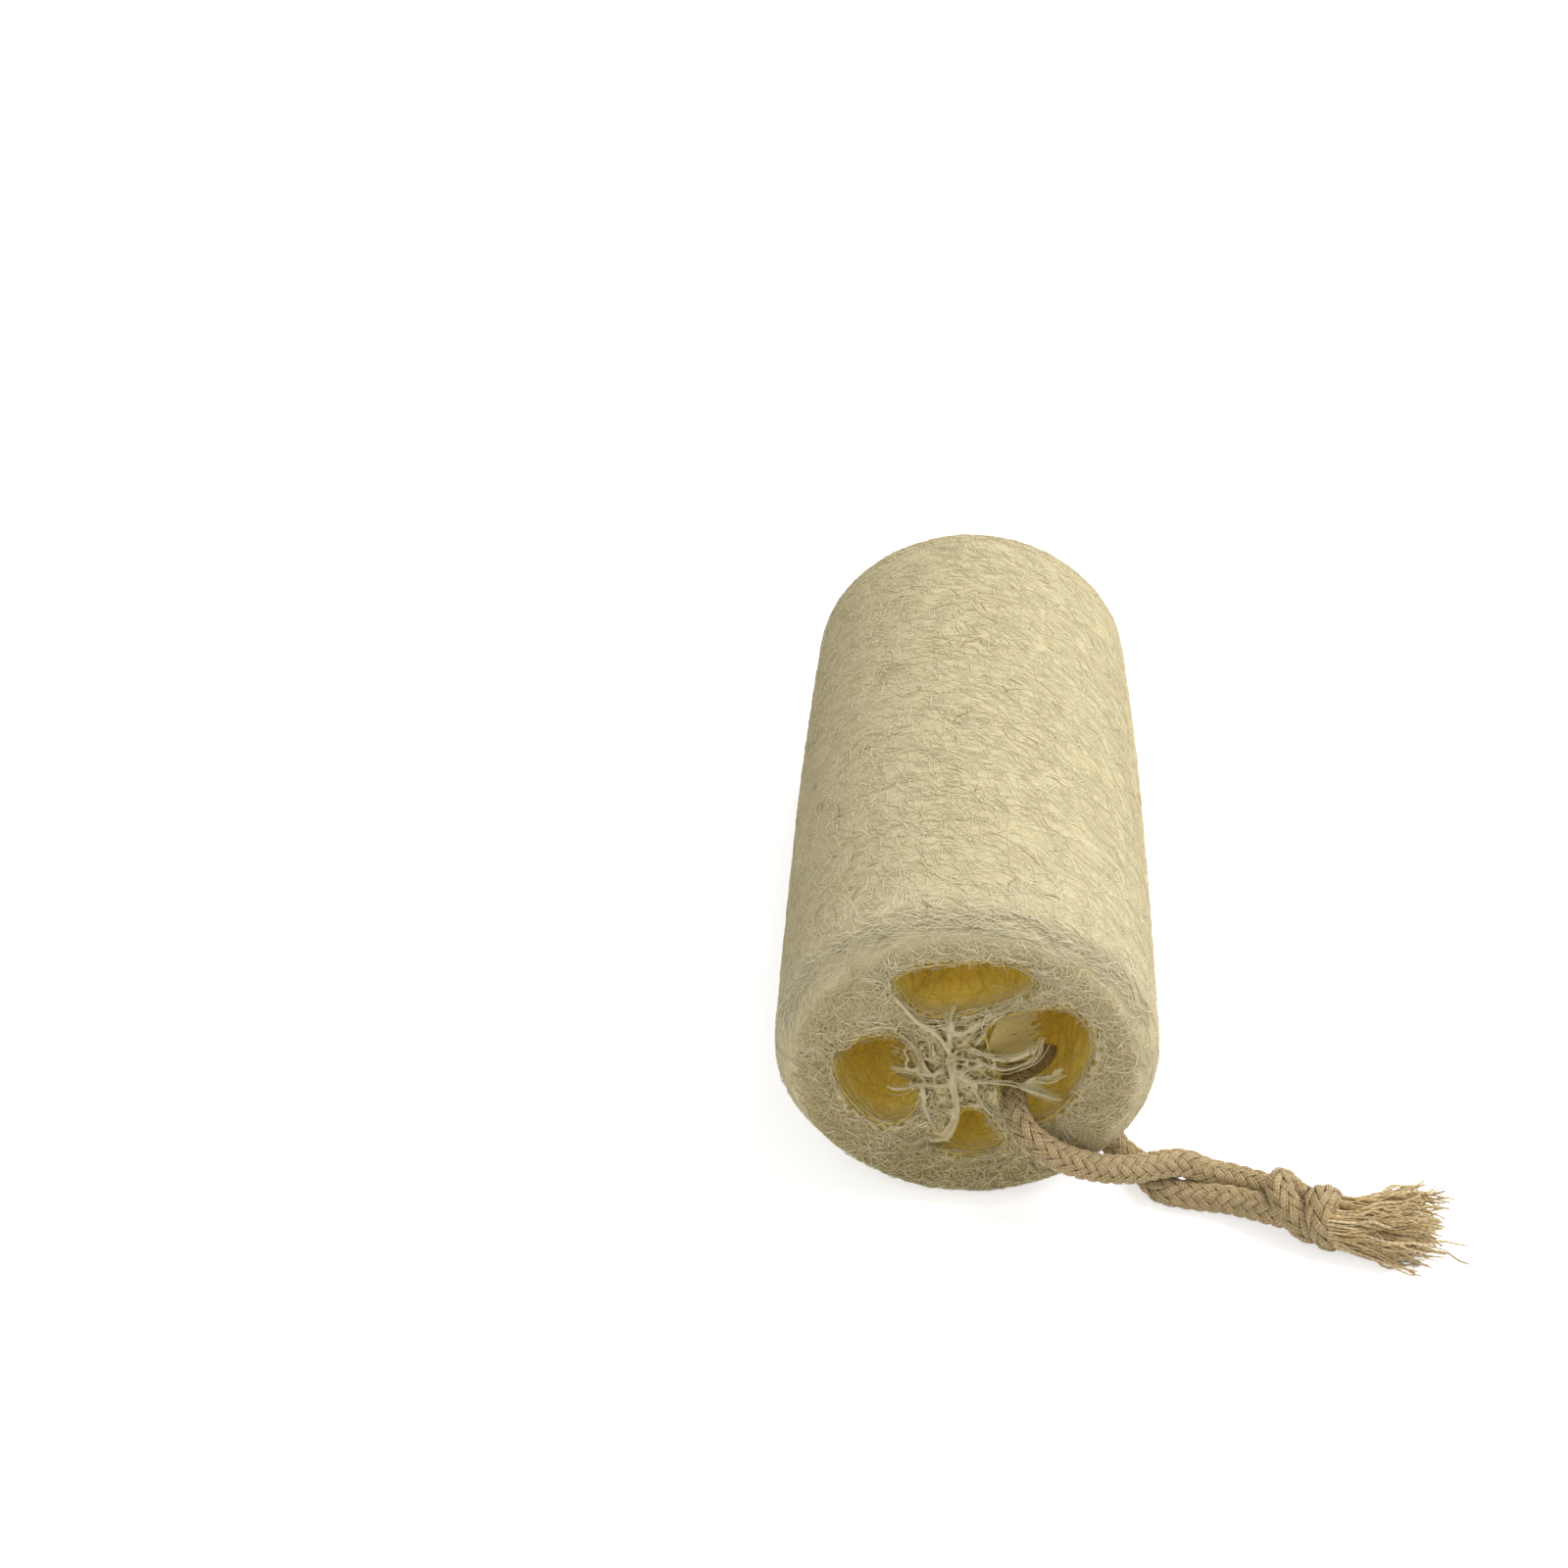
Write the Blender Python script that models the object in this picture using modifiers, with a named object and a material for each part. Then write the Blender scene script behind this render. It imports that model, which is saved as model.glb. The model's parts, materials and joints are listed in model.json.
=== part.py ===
# Loofah back scrubber: a cut length of dried sponge gourd with a knotted loop of cotton cord.
# Metres, +Z up. The sponge lies on its side along Y, with the cord at its -Y end, and rests on Z = 0.

import math

import bmesh
import bpy
from mathutils import Matrix, Vector

# Sponge: an oval barrel with two cut ends
SPONGE_LENGTH = 0.150
SPONGE_WIDTH = 0.066
SPONGE_HEIGHT = 0.060
REST_DEPTH = 0.0008  # how far the lying side is pressed flat
FRONT_RIM = 0.0062  # rounding of the cut end where the cord is
BACK_RIM = 0.012
FRONT_NARROWING = 0.0004  # loss of radius from the middle to each end
BACK_NARROWING = 0.0016
RIB_COUNT = 10  # faint lengthwise ribs of the gourd
RIB_HEIGHT = 0.0004

# Seed chambers, ovals that run from end to end: (across, up) from the sponge's middle, and half sizes
CHAMBERS = {
    "top": {"centre": (-0.0006, 0.0160), "half": (0.0116, 0.0053), "turn": 4},
    "right": {"centre": (0.0123, -0.0004), "half": (0.0088, 0.0122), "turn": -4},
    "left": {"centre": (-0.0146, -0.0032), "half": (0.0075, 0.0098), "turn": 12},
    "bottom": {"centre": (0.0004, -0.0136), "half": (0.0054, 0.0055), "turn": 0},
}
CHAMBER_TAPER = 0.92  # size at the back end over size at the front
CHAMBER_LOBE = 0.05  # how far the oval swells towards its corners
CHAMBER_POINTS = 28

# Core: the column in the middle and the webs between the chambers
CORE_WIDTH = 0.034
CORE_HEIGHT = 0.031
CORE_RISE = 0.0006  # the core's middle above the sponge's
CORE_SETBACK = 0.0012  # how deep the core ends lie behind the cut ends
FIT_GAP = 0.0003

# Cord: one braided cotton cord, through the wall and tied to itself
CORD_DIAMETER = 0.005
SWING_ACROSS = 0.0345  # where the two strands cross, and the loop swings
SWING_AHEAD = -0.0030
LOWER_LEVEL = (CORD_DIAMETER + FIT_GAP) / 2  # height of the outer strand where they cross
UPPER_LEVEL = LOWER_LEVEL + CORD_DIAMETER + FIT_GAP

# Route from the upper crossing over the rim, into the right chamber, through the wall and out to the
# lower crossing: (across, ahead of the front face, height)
HELD_ROUTE = [
    (SWING_ACROSS, SWING_AHEAD, UPPER_LEVEL),
    (0.0290, 0.0002, 0.0092),
    (0.0230, 0.0027, 0.0113),
    (0.0175, 0.0045, 0.0143),
    (0.0132, 0.0047, 0.0170),
    (0.0099, 0.0027, 0.0191),
    (0.0083, -0.0026, 0.0205),
    (0.0087, -0.0092, 0.0205),
    (0.0110, -0.0148, 0.0200),
    (0.0152, -0.0184, 0.0180),
    (0.0200, -0.0190, 0.0148),
    (0.0248, -0.0178, 0.0112),
    (0.0286, -0.0146, 0.0068),
    (0.0318, -0.0094, 0.0036),
    (SWING_ACROSS, SWING_AHEAD, LOWER_LEVEL),
]
CHAMBER_STRAND_ROUTE = [
    (SWING_ACROSS, SWING_AHEAD, UPPER_LEVEL),
    (0.0384, -0.0042, 0.0073),
    (0.0428, -0.0044, 0.0053),
    (0.0474, -0.0037, 0.0048),
]
OUTER_STRAND_ROUTE = [
    (SWING_ACROSS, SWING_AHEAD, LOWER_LEVEL),
    (0.0380, 0.0004, 0.00265),
    (0.0424, 0.0011, 0.0027),
    (0.0470, 0.0019, 0.0035),
]

# Knot: a tight overhand knot of both strands
KNOT_ACROSS = 0.0592
KNOT_AHEAD = 0.0052
KNOT_TURN = -28  # degrees that the knot's axis points forward of +X
KNOT_LENGTH = 0.0132
KNOT_WRAP_RADIUS = 0.0034  # from the knot's axis to the middle of the wrapped cord
KNOT_CORD_DIAMETER = 0.0044  # the cord where the knot squeezes it
KNOT_WRAPS = 1.6
KNOT_PITCH = 0.0049
STRAND_OFFSET = 0.0027  # each strand from the knot's axis, side by side

# Frayed ends: the two cord ends, combed out
FRAY_LENGTHS = {"back": 0.0165, "front": 0.0180}
FRAY_ROOT = 0.0024  # radius where it leaves the knot
FRAY_TIP = (0.0046, 0.0040)  # half width and half height of the open end
FRAY_DROOP = 0.0012
FRAY_YARNS = 11
FRAY_FLUTE = 0.22  # depth of the grooves between yarns, as a share of the radius
FRAY_RAGGED = 0.0016  # how unevenly the yarns end
FRAY_FAN = {"back": 34, "front": 16}  # degrees that each bundle leans off the knot's axis

# Fineness of the round surfaces
TURN_STEPS = 60
RIM_STEPS = 4
BODY_STEPS = 6
OVAL_STEPS = 40
CORD_SPACING = 0.0024
CORD_SIDES = 2  # bevel resolution
KNOT_SIDES = 2
WRAP_POINTS = 20  # for each turn
FRAY_RINGS = 6
FRAY_POINTS = 33

FRONT_Y = -SPONGE_LENGTH / 2
BACK_Y = SPONGE_LENGTH / 2
MIDDLE_Z = SPONGE_HEIGHT / 2 - REST_DEPTH
OVERSHOOT = 0.01  # how far a cutter runs past the ends

COLOURS = {
    "loofah_wall": (0.80, 0.73, 0.50, 1.0),
    "loofah_core": (0.86, 0.82, 0.66, 1.0),
    "cotton_cord": (0.70, 0.57, 0.38, 1.0),
    "frayed_cotton": (0.78, 0.66, 0.45, 1.0),
}
ROUGHNESS = {"loofah_wall": 0.85, "loofah_core": 0.8, "cotton_cord": 0.9, "frayed_cotton": 0.92}


# Scene, materials and small helpers


def clear_scene():
    for obj in list(bpy.data.objects):
        bpy.data.objects.remove(obj, do_unlink=True)


def new_collection(name):
    collection = bpy.data.collections.new(name)
    bpy.context.scene.collection.children.link(collection)
    return collection


def make_materials():
    made = {}
    for name, colour in COLOURS.items():
        material = bpy.data.materials.new(name)
        material.use_nodes = True
        shader = material.node_tree.nodes["Principled BSDF"]
        shader.inputs["Base Color"].default_value = colour
        shader.inputs["Roughness"].default_value = ROUGHNESS[name]
        shader.inputs["Metallic"].default_value = 0.0
        made[name] = material
    return made


def link(obj, collection, material=None):
    collection.objects.link(obj)
    if material:
        obj.data.materials.append(material)
    return obj


def as_cutter(obj):
    obj.hide_render = True
    obj.display_type = "WIRE"
    return obj


def baked_mesh(obj):
    # The object as its modifiers and bevel make it, as one welded mesh in world space
    bpy.context.view_layer.update()
    graph = bpy.context.evaluated_depsgraph_get()
    mesh = bpy.data.meshes.new_from_object(obj.evaluated_get(graph))
    mesh.transform(obj.matrix_world)
    bm = bmesh.new()
    bm.from_mesh(mesh)
    bmesh.ops.remove_doubles(bm, verts=bm.verts, dist=1e-6)
    bmesh.ops.recalc_face_normals(bm, faces=bm.faces)
    bm.to_mesh(mesh)
    bm.free()
    bpy.data.objects.remove(obj, do_unlink=True)
    return mesh


def cut(obj, cutter, operation="DIFFERENCE"):
    modifier = obj.modifiers.new(operation.lower() + "_" + cutter.name, "BOOLEAN")
    modifier.operation = operation
    modifier.object = cutter


def shade_round(mesh, angle=35):
    mesh.shade_smooth()
    mesh.set_sharp_from_angle(angle=math.radians(angle))


# Sponge


def barrel_radius(y):
    share = 2 * y / SPONGE_LENGTH
    return SPONGE_WIDTH / 2 - (FRONT_NARROWING if y < 0 else BACK_NARROWING) * share**2


def barrel_profile():
    # Half outline from the front face's middle to the back face's middle, as (radius, y)
    points = [(0.0, FRONT_Y)]
    front_radius = barrel_radius(FRONT_Y + FRONT_RIM)
    back_radius = barrel_radius(BACK_Y - BACK_RIM)
    for step in range(RIM_STEPS + 1):
        angle = math.pi / 2 * step / RIM_STEPS
        inset = FRONT_RIM * (1 - math.sin(angle))
        points.append((front_radius - inset, FRONT_Y + FRONT_RIM * (1 - math.cos(angle))))
    for step in range(1, BODY_STEPS):
        y = FRONT_Y + FRONT_RIM + (SPONGE_LENGTH - FRONT_RIM - BACK_RIM) * step / BODY_STEPS
        points.append((barrel_radius(y), y))
    for step in range(RIM_STEPS + 1):
        angle = math.pi / 2 * step / RIM_STEPS
        inset = BACK_RIM * (1 - math.cos(angle))
        points.append((back_radius - inset, BACK_Y - BACK_RIM * (1 - math.sin(angle))))
    points.append((0.0, BACK_Y))
    return points


def turned(name, profile, collection):
    # A profile of (radius, y) turned round the Y axis
    mesh = bpy.data.meshes.new(name)
    edges = [(i, i + 1) for i in range(len(profile) - 1)]
    mesh.from_pydata([(r, y, 0.0) for r, y in profile], edges, [])
    obj = link(bpy.data.objects.new(name, mesh), collection)
    screw = obj.modifiers.new("turn", "SCREW")
    screw.axis = "Y"
    screw.steps = TURN_STEPS
    screw.render_steps = TURN_STEPS
    screw.use_merge_vertices = True
    screw.merge_threshold = 1e-5
    return obj


def ribbed_oval(point):
    # A point of the turned barrel moved onto the ribbed oval section, at its height above the floor
    angle = math.atan2(point.z, point.x)
    radius = math.hypot(point.x, point.z)
    depth = RIB_HEIGHT * (1 - math.cos(RIB_COUNT * angle)) / 2
    share = max(0.0, radius - depth * radius / (SPONGE_WIDTH / 2)) / radius if radius else 0.0
    flatten = SPONGE_HEIGHT / SPONGE_WIDTH
    return Vector((point.x * share, point.y, point.z * share * flatten + MIDDLE_Z))


def sponge_blank(name, collection, material):
    mesh = baked_mesh(turned(name + "_turned", barrel_profile(), collection))
    for vertex in mesh.vertices:
        vertex.co = ribbed_oval(vertex.co)
    bm = bmesh.new()
    bm.from_mesh(mesh)
    geometry = bm.verts[:] + bm.edges[:] + bm.faces[:]
    cut_edges = bmesh.ops.bisect_plane(
        bm, geom=geometry, plane_co=(0, 0, 0), plane_no=(0, 0, -1), clear_outer=True
    )["geom_cut"]
    rim = [item for item in cut_edges if isinstance(item, bmesh.types.BMEdge)]
    bmesh.ops.holes_fill(bm, edges=rim)
    bmesh.ops.recalc_face_normals(bm, faces=bm.faces)
    bm.to_mesh(mesh)
    bm.free()
    shade_round(mesh)
    return link(bpy.data.objects.new(name, mesh), collection, material)


def oval_prism(name, width, height, middle_z, front, back, collection):
    bm = bmesh.new()
    bmesh.ops.create_cone(
        bm, cap_ends=True, segments=OVAL_STEPS, radius1=0.5, radius2=0.5, depth=back - front
    )
    stand = Matrix.Rotation(math.pi / 2, 4, "X")
    size = Matrix.Diagonal((width, 1.0, height, 1.0))
    place = Matrix.Translation((0, (front + back) / 2, middle_z))
    bmesh.ops.transform(bm, matrix=place @ size @ stand, verts=bm.verts)
    mesh = bpy.data.meshes.new(name)
    bm.to_mesh(mesh)
    bm.free()
    return link(bpy.data.objects.new(name, mesh), collection)


def chamber_cutter(name, chamber, collection):
    # A lobed oval drawn as a flat curve, extruded along the sponge and narrowed towards the back
    (across, up), (half_width, half_height) = chamber["centre"], chamber["half"]
    half_length = SPONGE_LENGTH / 2 + OVERSHOOT
    curve = bpy.data.curves.new(name, "CURVE")
    curve.dimensions = "2D"
    curve.fill_mode = "BOTH"
    curve.extrude = half_length
    spline = curve.splines.new("POLY")
    spline.points.add(CHAMBER_POINTS - 1)
    for i, point in enumerate(spline.points):
        angle = 2 * math.pi * i / CHAMBER_POINTS
        lobe = 1 + CHAMBER_LOBE * math.sin(2 * angle) ** 2
        point.co = (half_width * lobe * math.cos(angle), half_height * lobe * math.sin(angle), 0, 1)
    spline.use_cyclic_u = True
    obj = link(bpy.data.objects.new(name, curve), collection)
    turn = Matrix.Rotation(math.radians(-chamber["turn"]), 4, "Y")
    stand = Matrix.Rotation(math.pi / 2, 4, "X")
    obj.matrix_world = turn @ stand
    mesh = baked_mesh(obj)
    for vertex in mesh.vertices:
        share = (vertex.co.y + half_length) / (2 * half_length)
        size = 1 + (CHAMBER_TAPER - 1) * share
        vertex.co = (vertex.co.x * size + across, vertex.co.y, vertex.co.z * size + up + MIDDLE_Z)
    return as_cutter(link(bpy.data.objects.new(name, mesh), collection))


# Cord


def placed(route):
    return [Vector((across, FRONT_Y - ahead, height)) for across, ahead, height in route]


def smooth_line(points, spacing):
    # A smooth curve through the points, read at an even spacing
    ends = [points[0] * 2 - points[1], *points, points[-1] * 2 - points[-2]]
    fine = []
    for a, b, c, d in zip(ends, ends[1:], ends[2:], ends[3:]):
        for step in range(16):
            t = step / 16
            fine.append(
                0.5
                * (2 * b + (c - a) * t + (2 * a - 5 * b + 4 * c - d) * t**2 + (3 * b - a - 3 * c + d) * t**3)
            )
    fine.append(points[-1])
    along = [0.0]
    for a, b in zip(fine, fine[1:]):
        along.append(along[-1] + (b - a).length)
    count = max(2, round(along[-1] / spacing))
    line, at = [], 0
    for i in range(count + 1):
        target = along[-1] * i / count
        while at < len(along) - 2 and along[at + 1] < target:
            at += 1
        share = (target - along[at]) / (along[at + 1] - along[at])
        line.append(fine[at].lerp(fine[at + 1], share))
    return line


def rounded_end(line, radius):
    # Extra points past the line's last one, with radii that close it as a ball
    heading = (line[-1] - line[-2]).normalized()
    shares = [math.sin(math.radians(a)) for a in (30, 55, 78)]
    return [(line[-1] + heading * radius * s, math.sqrt(1 - s**2)) for s in shares]


def tube(name, line, radius, collection, round_start=False, round_end=False, sides=CORD_SIDES):
    points = [(point, 1.0) for point in line]
    if round_start:
        points = rounded_end(line[::-1], radius)[::-1] + points
    if round_end:
        points = points + rounded_end(line, radius)
    curve = bpy.data.curves.new(name, "CURVE")
    curve.dimensions = "3D"
    curve.bevel_depth = radius
    curve.bevel_resolution = sides
    curve.use_fill_caps = True
    spline = curve.splines.new("POLY")
    spline.points.add(len(points) - 1)
    for point, (place, share) in zip(spline.points, points):
        point.co = (*place, 1.0)
        point.radius = share
    return link(bpy.data.objects.new(name, curve), collection)


def knot_axes():
    turn = math.radians(KNOT_TURN)
    axis = Vector((math.cos(turn), math.sin(turn), 0))
    side = Vector((-math.sin(turn), math.cos(turn), 0))
    height = KNOT_WRAP_RADIUS + KNOT_CORD_DIAMETER / 2 + FIT_GAP / 2
    middle = Vector((KNOT_ACROSS, FRONT_Y - KNOT_AHEAD, height))
    return middle, axis, side


def loop_strand(name, route, side_sign, collection):
    # From just past the crossing to the knot's near end
    middle, axis, side = knot_axes()
    door = middle + side * side_sign * STRAND_OFFSET - axis * (KNOT_LENGTH / 2 + FIT_GAP)
    points = placed(route) + [door - axis * CORD_DIAMETER * 0.5, door]
    line = smooth_line(points, CORD_SPACING)
    clear = CORD_DIAMETER / 2 + FIT_GAP
    start = placed(route)[0]
    line = [point for point in line if (point - start).length > clear * 1.15]
    heading = (line[0] - start).normalized()
    line.insert(0, start + heading * clear)
    return tube(name, line, CORD_DIAMETER / 2, collection)


def knot(name, collection, cutters, material):
    # Both strands run through the middle, and the doubled cord winds round them
    middle, _, _ = knot_axes()
    place = Matrix.Translation(middle) @ Matrix.Rotation(math.radians(KNOT_TURN), 4, "Z")
    points = []
    turns = KNOT_WRAPS * WRAP_POINTS
    for i in range(round(turns) + 1):
        angle = 2 * math.pi * i / WRAP_POINTS
        along = KNOT_PITCH * (i / WRAP_POINTS - KNOT_WRAPS / 2)
        ring = Vector((along, KNOT_WRAP_RADIUS * math.cos(angle), KNOT_WRAP_RADIUS * math.sin(angle)))
        points.append(place @ ring)
    wrap = tube(name + "_wrap", points, KNOT_CORD_DIAMETER / 2, cutters, True, True, KNOT_SIDES)
    wrap = as_cutter(link(bpy.data.objects.new(name + "_wrap", baked_mesh(wrap)), cutters))
    bm = bmesh.new()
    bmesh.ops.create_cone(
        bm,
        cap_ends=True,
        segments=24,
        radius1=KNOT_WRAP_RADIUS,
        radius2=KNOT_WRAP_RADIUS,
        depth=KNOT_LENGTH,
    )
    lie = Matrix.Rotation(math.pi / 2, 4, "Y")
    bmesh.ops.transform(bm, matrix=place @ lie, verts=bm.verts)
    mesh = bpy.data.meshes.new(name)
    bm.to_mesh(mesh)
    bm.free()
    obj = link(bpy.data.objects.new(name, mesh), collection, material)
    cut(obj, wrap, "UNION")
    return obj


def frayed_end(name, which, side_sign, collection, material):
    # A fluted bundle of yarns that opens out, with uneven tips, lofted ring by ring
    middle, axis, side = knot_axes()
    lean = math.radians(FRAY_FAN[which])
    up = Vector((0, 0, 1))
    root = middle + side * side_sign * STRAND_OFFSET + axis * (KNOT_LENGTH / 2 + FIT_GAP)
    length = FRAY_LENGTHS[which]
    bm = bmesh.new()
    rings = []
    for ring in range(FRAY_RINGS + 1):
        share = ring / FRAY_RINGS
        opening = share**1.3
        half = [FRAY_ROOT + (tip - FRAY_ROOT) * opening for tip in FRAY_TIP]
        heading = Matrix.Rotation(lean * min(1.0, 2 * share), 3, up) @ axis
        across = up.cross(heading)
        centre = root + heading * length * share
        centre += across * side_sign * (FRAY_TIP[0] - STRAND_OFFSET + FIT_GAP) * opening
        centre.z -= FRAY_DROOP * opening
        loop = []
        for i in range(FRAY_POINTS):
            angle = 2 * math.pi * i / FRAY_POINTS
            flute = 1 - FRAY_FLUTE * opening * (1 - math.cos(FRAY_YARNS * angle)) / 2
            tip = FRAY_RAGGED * share**4 * math.sin(3 * angle + 1.3 * side_sign)
            place = centre + across * half[0] * flute * math.cos(angle) + heading * tip
            loop.append(bm.verts.new(place + up * half[1] * flute * math.sin(angle)))
        rings.append(loop)
    for near, far in zip(rings, rings[1:]):
        for i in range(FRAY_POINTS):
            j = (i + 1) % FRAY_POINTS
            bm.faces.new((near[i], near[j], far[j], far[i]))
    bm.faces.new(rings[0][::-1])
    bmesh.ops.poke(bm, faces=[bm.faces.new(rings[-1])])
    bmesh.ops.recalc_face_normals(bm, faces=bm.faces)
    mesh = bpy.data.meshes.new(name)
    bm.to_mesh(mesh)
    bm.free()
    shade_round(mesh)
    return link(bpy.data.objects.new(name, mesh), collection, material)


# Assembly


def build_sponge(parts, cutters, materials):
    chambers = [chamber_cutter("chamber_" + n, c, cutters) for n, c in CHAMBERS.items()]
    core_z = MIDDLE_Z + CORE_RISE
    bore = oval_prism(
        "core_bore",
        CORE_WIDTH + 2 * FIT_GAP,
        CORE_HEIGHT + 2 * FIT_GAP,
        core_z,
        FRONT_Y - OVERSHOOT,
        BACK_Y + OVERSHOOT,
        cutters,
    )
    held_line = smooth_line(placed(HELD_ROUTE), CORD_SPACING)
    hole = tube("cord_hole", held_line, CORD_DIAMETER / 2 + FIT_GAP, cutters)
    hole = as_cutter(link(bpy.data.objects.new("cord_hole", baked_mesh(hole)), cutters))
    wall = sponge_blank("sponge_wall", parts, materials["loofah_wall"])
    for cutter in [as_cutter(bore), *chambers, hole]:
        cut(wall, cutter)
    core = oval_prism(
        "core_web",
        CORE_WIDTH,
        CORE_HEIGHT,
        core_z,
        FRONT_Y + CORE_SETBACK,
        BACK_Y - CORE_SETBACK,
        parts,
    )
    core.data.materials.append(materials["loofah_core"])
    for cutter in [*chambers, hole]:
        cut(core, cutter)
    return held_line


def build_cord(parts, cutters, materials, held_line):
    cotton = materials["cotton_cord"]
    held = tube("cord_through_wall", held_line, CORD_DIAMETER / 2, parts, True, True)
    held.data.materials.append(cotton)
    for name, route, side_sign in (
        ("chamber_strand", CHAMBER_STRAND_ROUTE, 1),
        ("outer_strand", OUTER_STRAND_ROUTE, -1),
    ):
        strand = loop_strand(name, route, side_sign, parts)
        strand.data.materials.append(cotton)
    knot("overhand_knot", parts, cutters, cotton)
    frayed_end("frayed_end_back", "back", 1, parts, materials["frayed_cotton"])
    frayed_end("frayed_end_front", "front", -1, parts, materials["frayed_cotton"])


def main():
    clear_scene()
    materials = make_materials()
    parts = new_collection("loofah_back_scrubber")
    cutters = new_collection("cutters")
    held_line = build_sponge(parts, cutters, materials)
    build_cord(parts, cutters, materials, held_line)


main()
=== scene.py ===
import json
import math

import bpy
import numpy as np
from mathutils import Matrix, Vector

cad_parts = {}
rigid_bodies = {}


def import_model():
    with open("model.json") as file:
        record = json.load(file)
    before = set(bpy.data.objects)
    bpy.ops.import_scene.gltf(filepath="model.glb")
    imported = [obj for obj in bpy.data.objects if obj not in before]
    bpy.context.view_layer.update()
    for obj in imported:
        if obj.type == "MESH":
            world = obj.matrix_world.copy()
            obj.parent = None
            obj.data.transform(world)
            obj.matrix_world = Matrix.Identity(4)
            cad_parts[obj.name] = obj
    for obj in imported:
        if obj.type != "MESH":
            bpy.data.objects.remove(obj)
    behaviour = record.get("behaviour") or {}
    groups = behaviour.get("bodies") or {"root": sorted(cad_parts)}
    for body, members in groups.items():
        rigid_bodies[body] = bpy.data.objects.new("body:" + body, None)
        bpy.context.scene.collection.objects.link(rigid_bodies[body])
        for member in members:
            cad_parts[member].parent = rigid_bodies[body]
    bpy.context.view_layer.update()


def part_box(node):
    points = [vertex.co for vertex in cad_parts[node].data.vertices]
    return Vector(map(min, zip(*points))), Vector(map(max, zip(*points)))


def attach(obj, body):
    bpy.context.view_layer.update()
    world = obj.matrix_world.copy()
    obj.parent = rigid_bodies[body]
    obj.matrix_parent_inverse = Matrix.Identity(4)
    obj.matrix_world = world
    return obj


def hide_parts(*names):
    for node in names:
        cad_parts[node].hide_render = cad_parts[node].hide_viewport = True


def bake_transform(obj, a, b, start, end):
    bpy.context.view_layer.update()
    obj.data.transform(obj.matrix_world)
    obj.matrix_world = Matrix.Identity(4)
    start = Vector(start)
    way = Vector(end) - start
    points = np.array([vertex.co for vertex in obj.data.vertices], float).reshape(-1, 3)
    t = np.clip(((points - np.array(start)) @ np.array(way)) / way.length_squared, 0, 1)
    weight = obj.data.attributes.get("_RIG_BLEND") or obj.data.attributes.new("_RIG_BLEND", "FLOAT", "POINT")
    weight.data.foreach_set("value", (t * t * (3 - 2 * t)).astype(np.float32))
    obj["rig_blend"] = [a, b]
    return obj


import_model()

rng = np.random.default_rng(81)  # one seeded source for every scattered fibre
wallLow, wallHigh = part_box("sponge_wall")
frontY, backY = wallLow.y, wallHigh.y
halfWidth = (wallHigh.x - wallLow.x) / 2
floorGap = .0004  # no fibre lies lower than this

# the sponge's outline, as the solid has it, and how its body is worked
sponge = {
    "halfHeight": .030, "middleZ": .0292,
    "frontRim": .0062, "backRim": .012, "frontNarrow": .0004, "backNarrow": .0016,
    "wobble": .010,  # grown unevenness, as a share of the radius
    "dent": .030, "dentAt": math.radians(48), "dentWidth": .33,
    "around": 120, "ringCuts": 59, "crowding": 2.2,
    "voxel": .00094, "recess": .0009, "beyond": .01,
    "cutterStep": .0016, "hollowStep": .001, "mouthStep": .0012,
    "clouds": (("lumps", .007, .00008), ("grain", .0016, .00005)),  # name, size and strength
    "skin": .003, "amberGlowDepth": (.0006, .007), "hollowDepth": (.0004, .002), "faceDepth": (.0014, .0032),
}

# mouths of the four seed chambers on the cut end: across and height
chambers = {
    "top": [(-.0128, .0461), (-.0109, .0486), (-.0048, .0502), (.0057, .0509), (.0096, .0495), (.0115, .0472),
            (.0092, .0447), (.0035, .0418), (-.0027, .0395), (-.0078, .0397), (-.0104, .0420)],
    "right": [(.0026, .0368), (.0058, .0402), (.0135, .0424), (.0181, .0412), (.0211, .0362), (.0208, .0306),
              (.0186, .0250), (.0166, .0206), (.0112, .0172), (.0066, .0206), (.0050, .0266), (.0036, .0320)],
    "left": [(-.0223, .0288), (-.0204, .0330), (-.0135, .0356), (-.0093, .0339), (-.0072, .0306),
             (-.0072, .0260), (-.0078, .0200), (-.0108, .0169), (-.0147, .0167), (-.0189, .0201),
             (-.0214, .0242)],
    "bottom": [(-.0066, .0126), (-.0036, .0156), (-.0010, .0200), (.0014, .0215), (.0036, .0202),
               (.0052, .0166), (.0073, .0131), (.0039, .0108), (-.0010, .0104)],
}
# the shallow hollow that the core's web spans
coreHollow = [(-.0098, .0298), (-.0086, .0345), (-.0070, .0388), (-.0028, .0388), (.0035, .0410),
              (.0030, .0372), (.0042, .0300), (.0052, .0258), (.0048, .0232), (.0020, .0220),
              (-.0020, .0202), (-.0070, .0212)]


def deselectAll():
    if bpy.context.object and bpy.context.object.mode != "OBJECT":
        bpy.ops.object.mode_set(mode="OBJECT")
    bpy.ops.object.select_all(action="DESELECT")


def makeActive(obj):
    deselectAll()
    obj.select_set(True)
    bpy.context.view_layer.objects.active = obj


def faceOutward():  # on the active object
    bpy.ops.object.mode_set(mode="EDIT")
    bpy.ops.mesh.select_all(action="SELECT")
    bpy.ops.mesh.normals_make_consistent(inside=False)
    bpy.ops.object.mode_set(mode="OBJECT")


def addModifier(obj, name, kind, **settings):
    modifier = obj.modifiers.new(name, kind)
    for key, value in settings.items():
        setattr(modifier, key, value)


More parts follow.
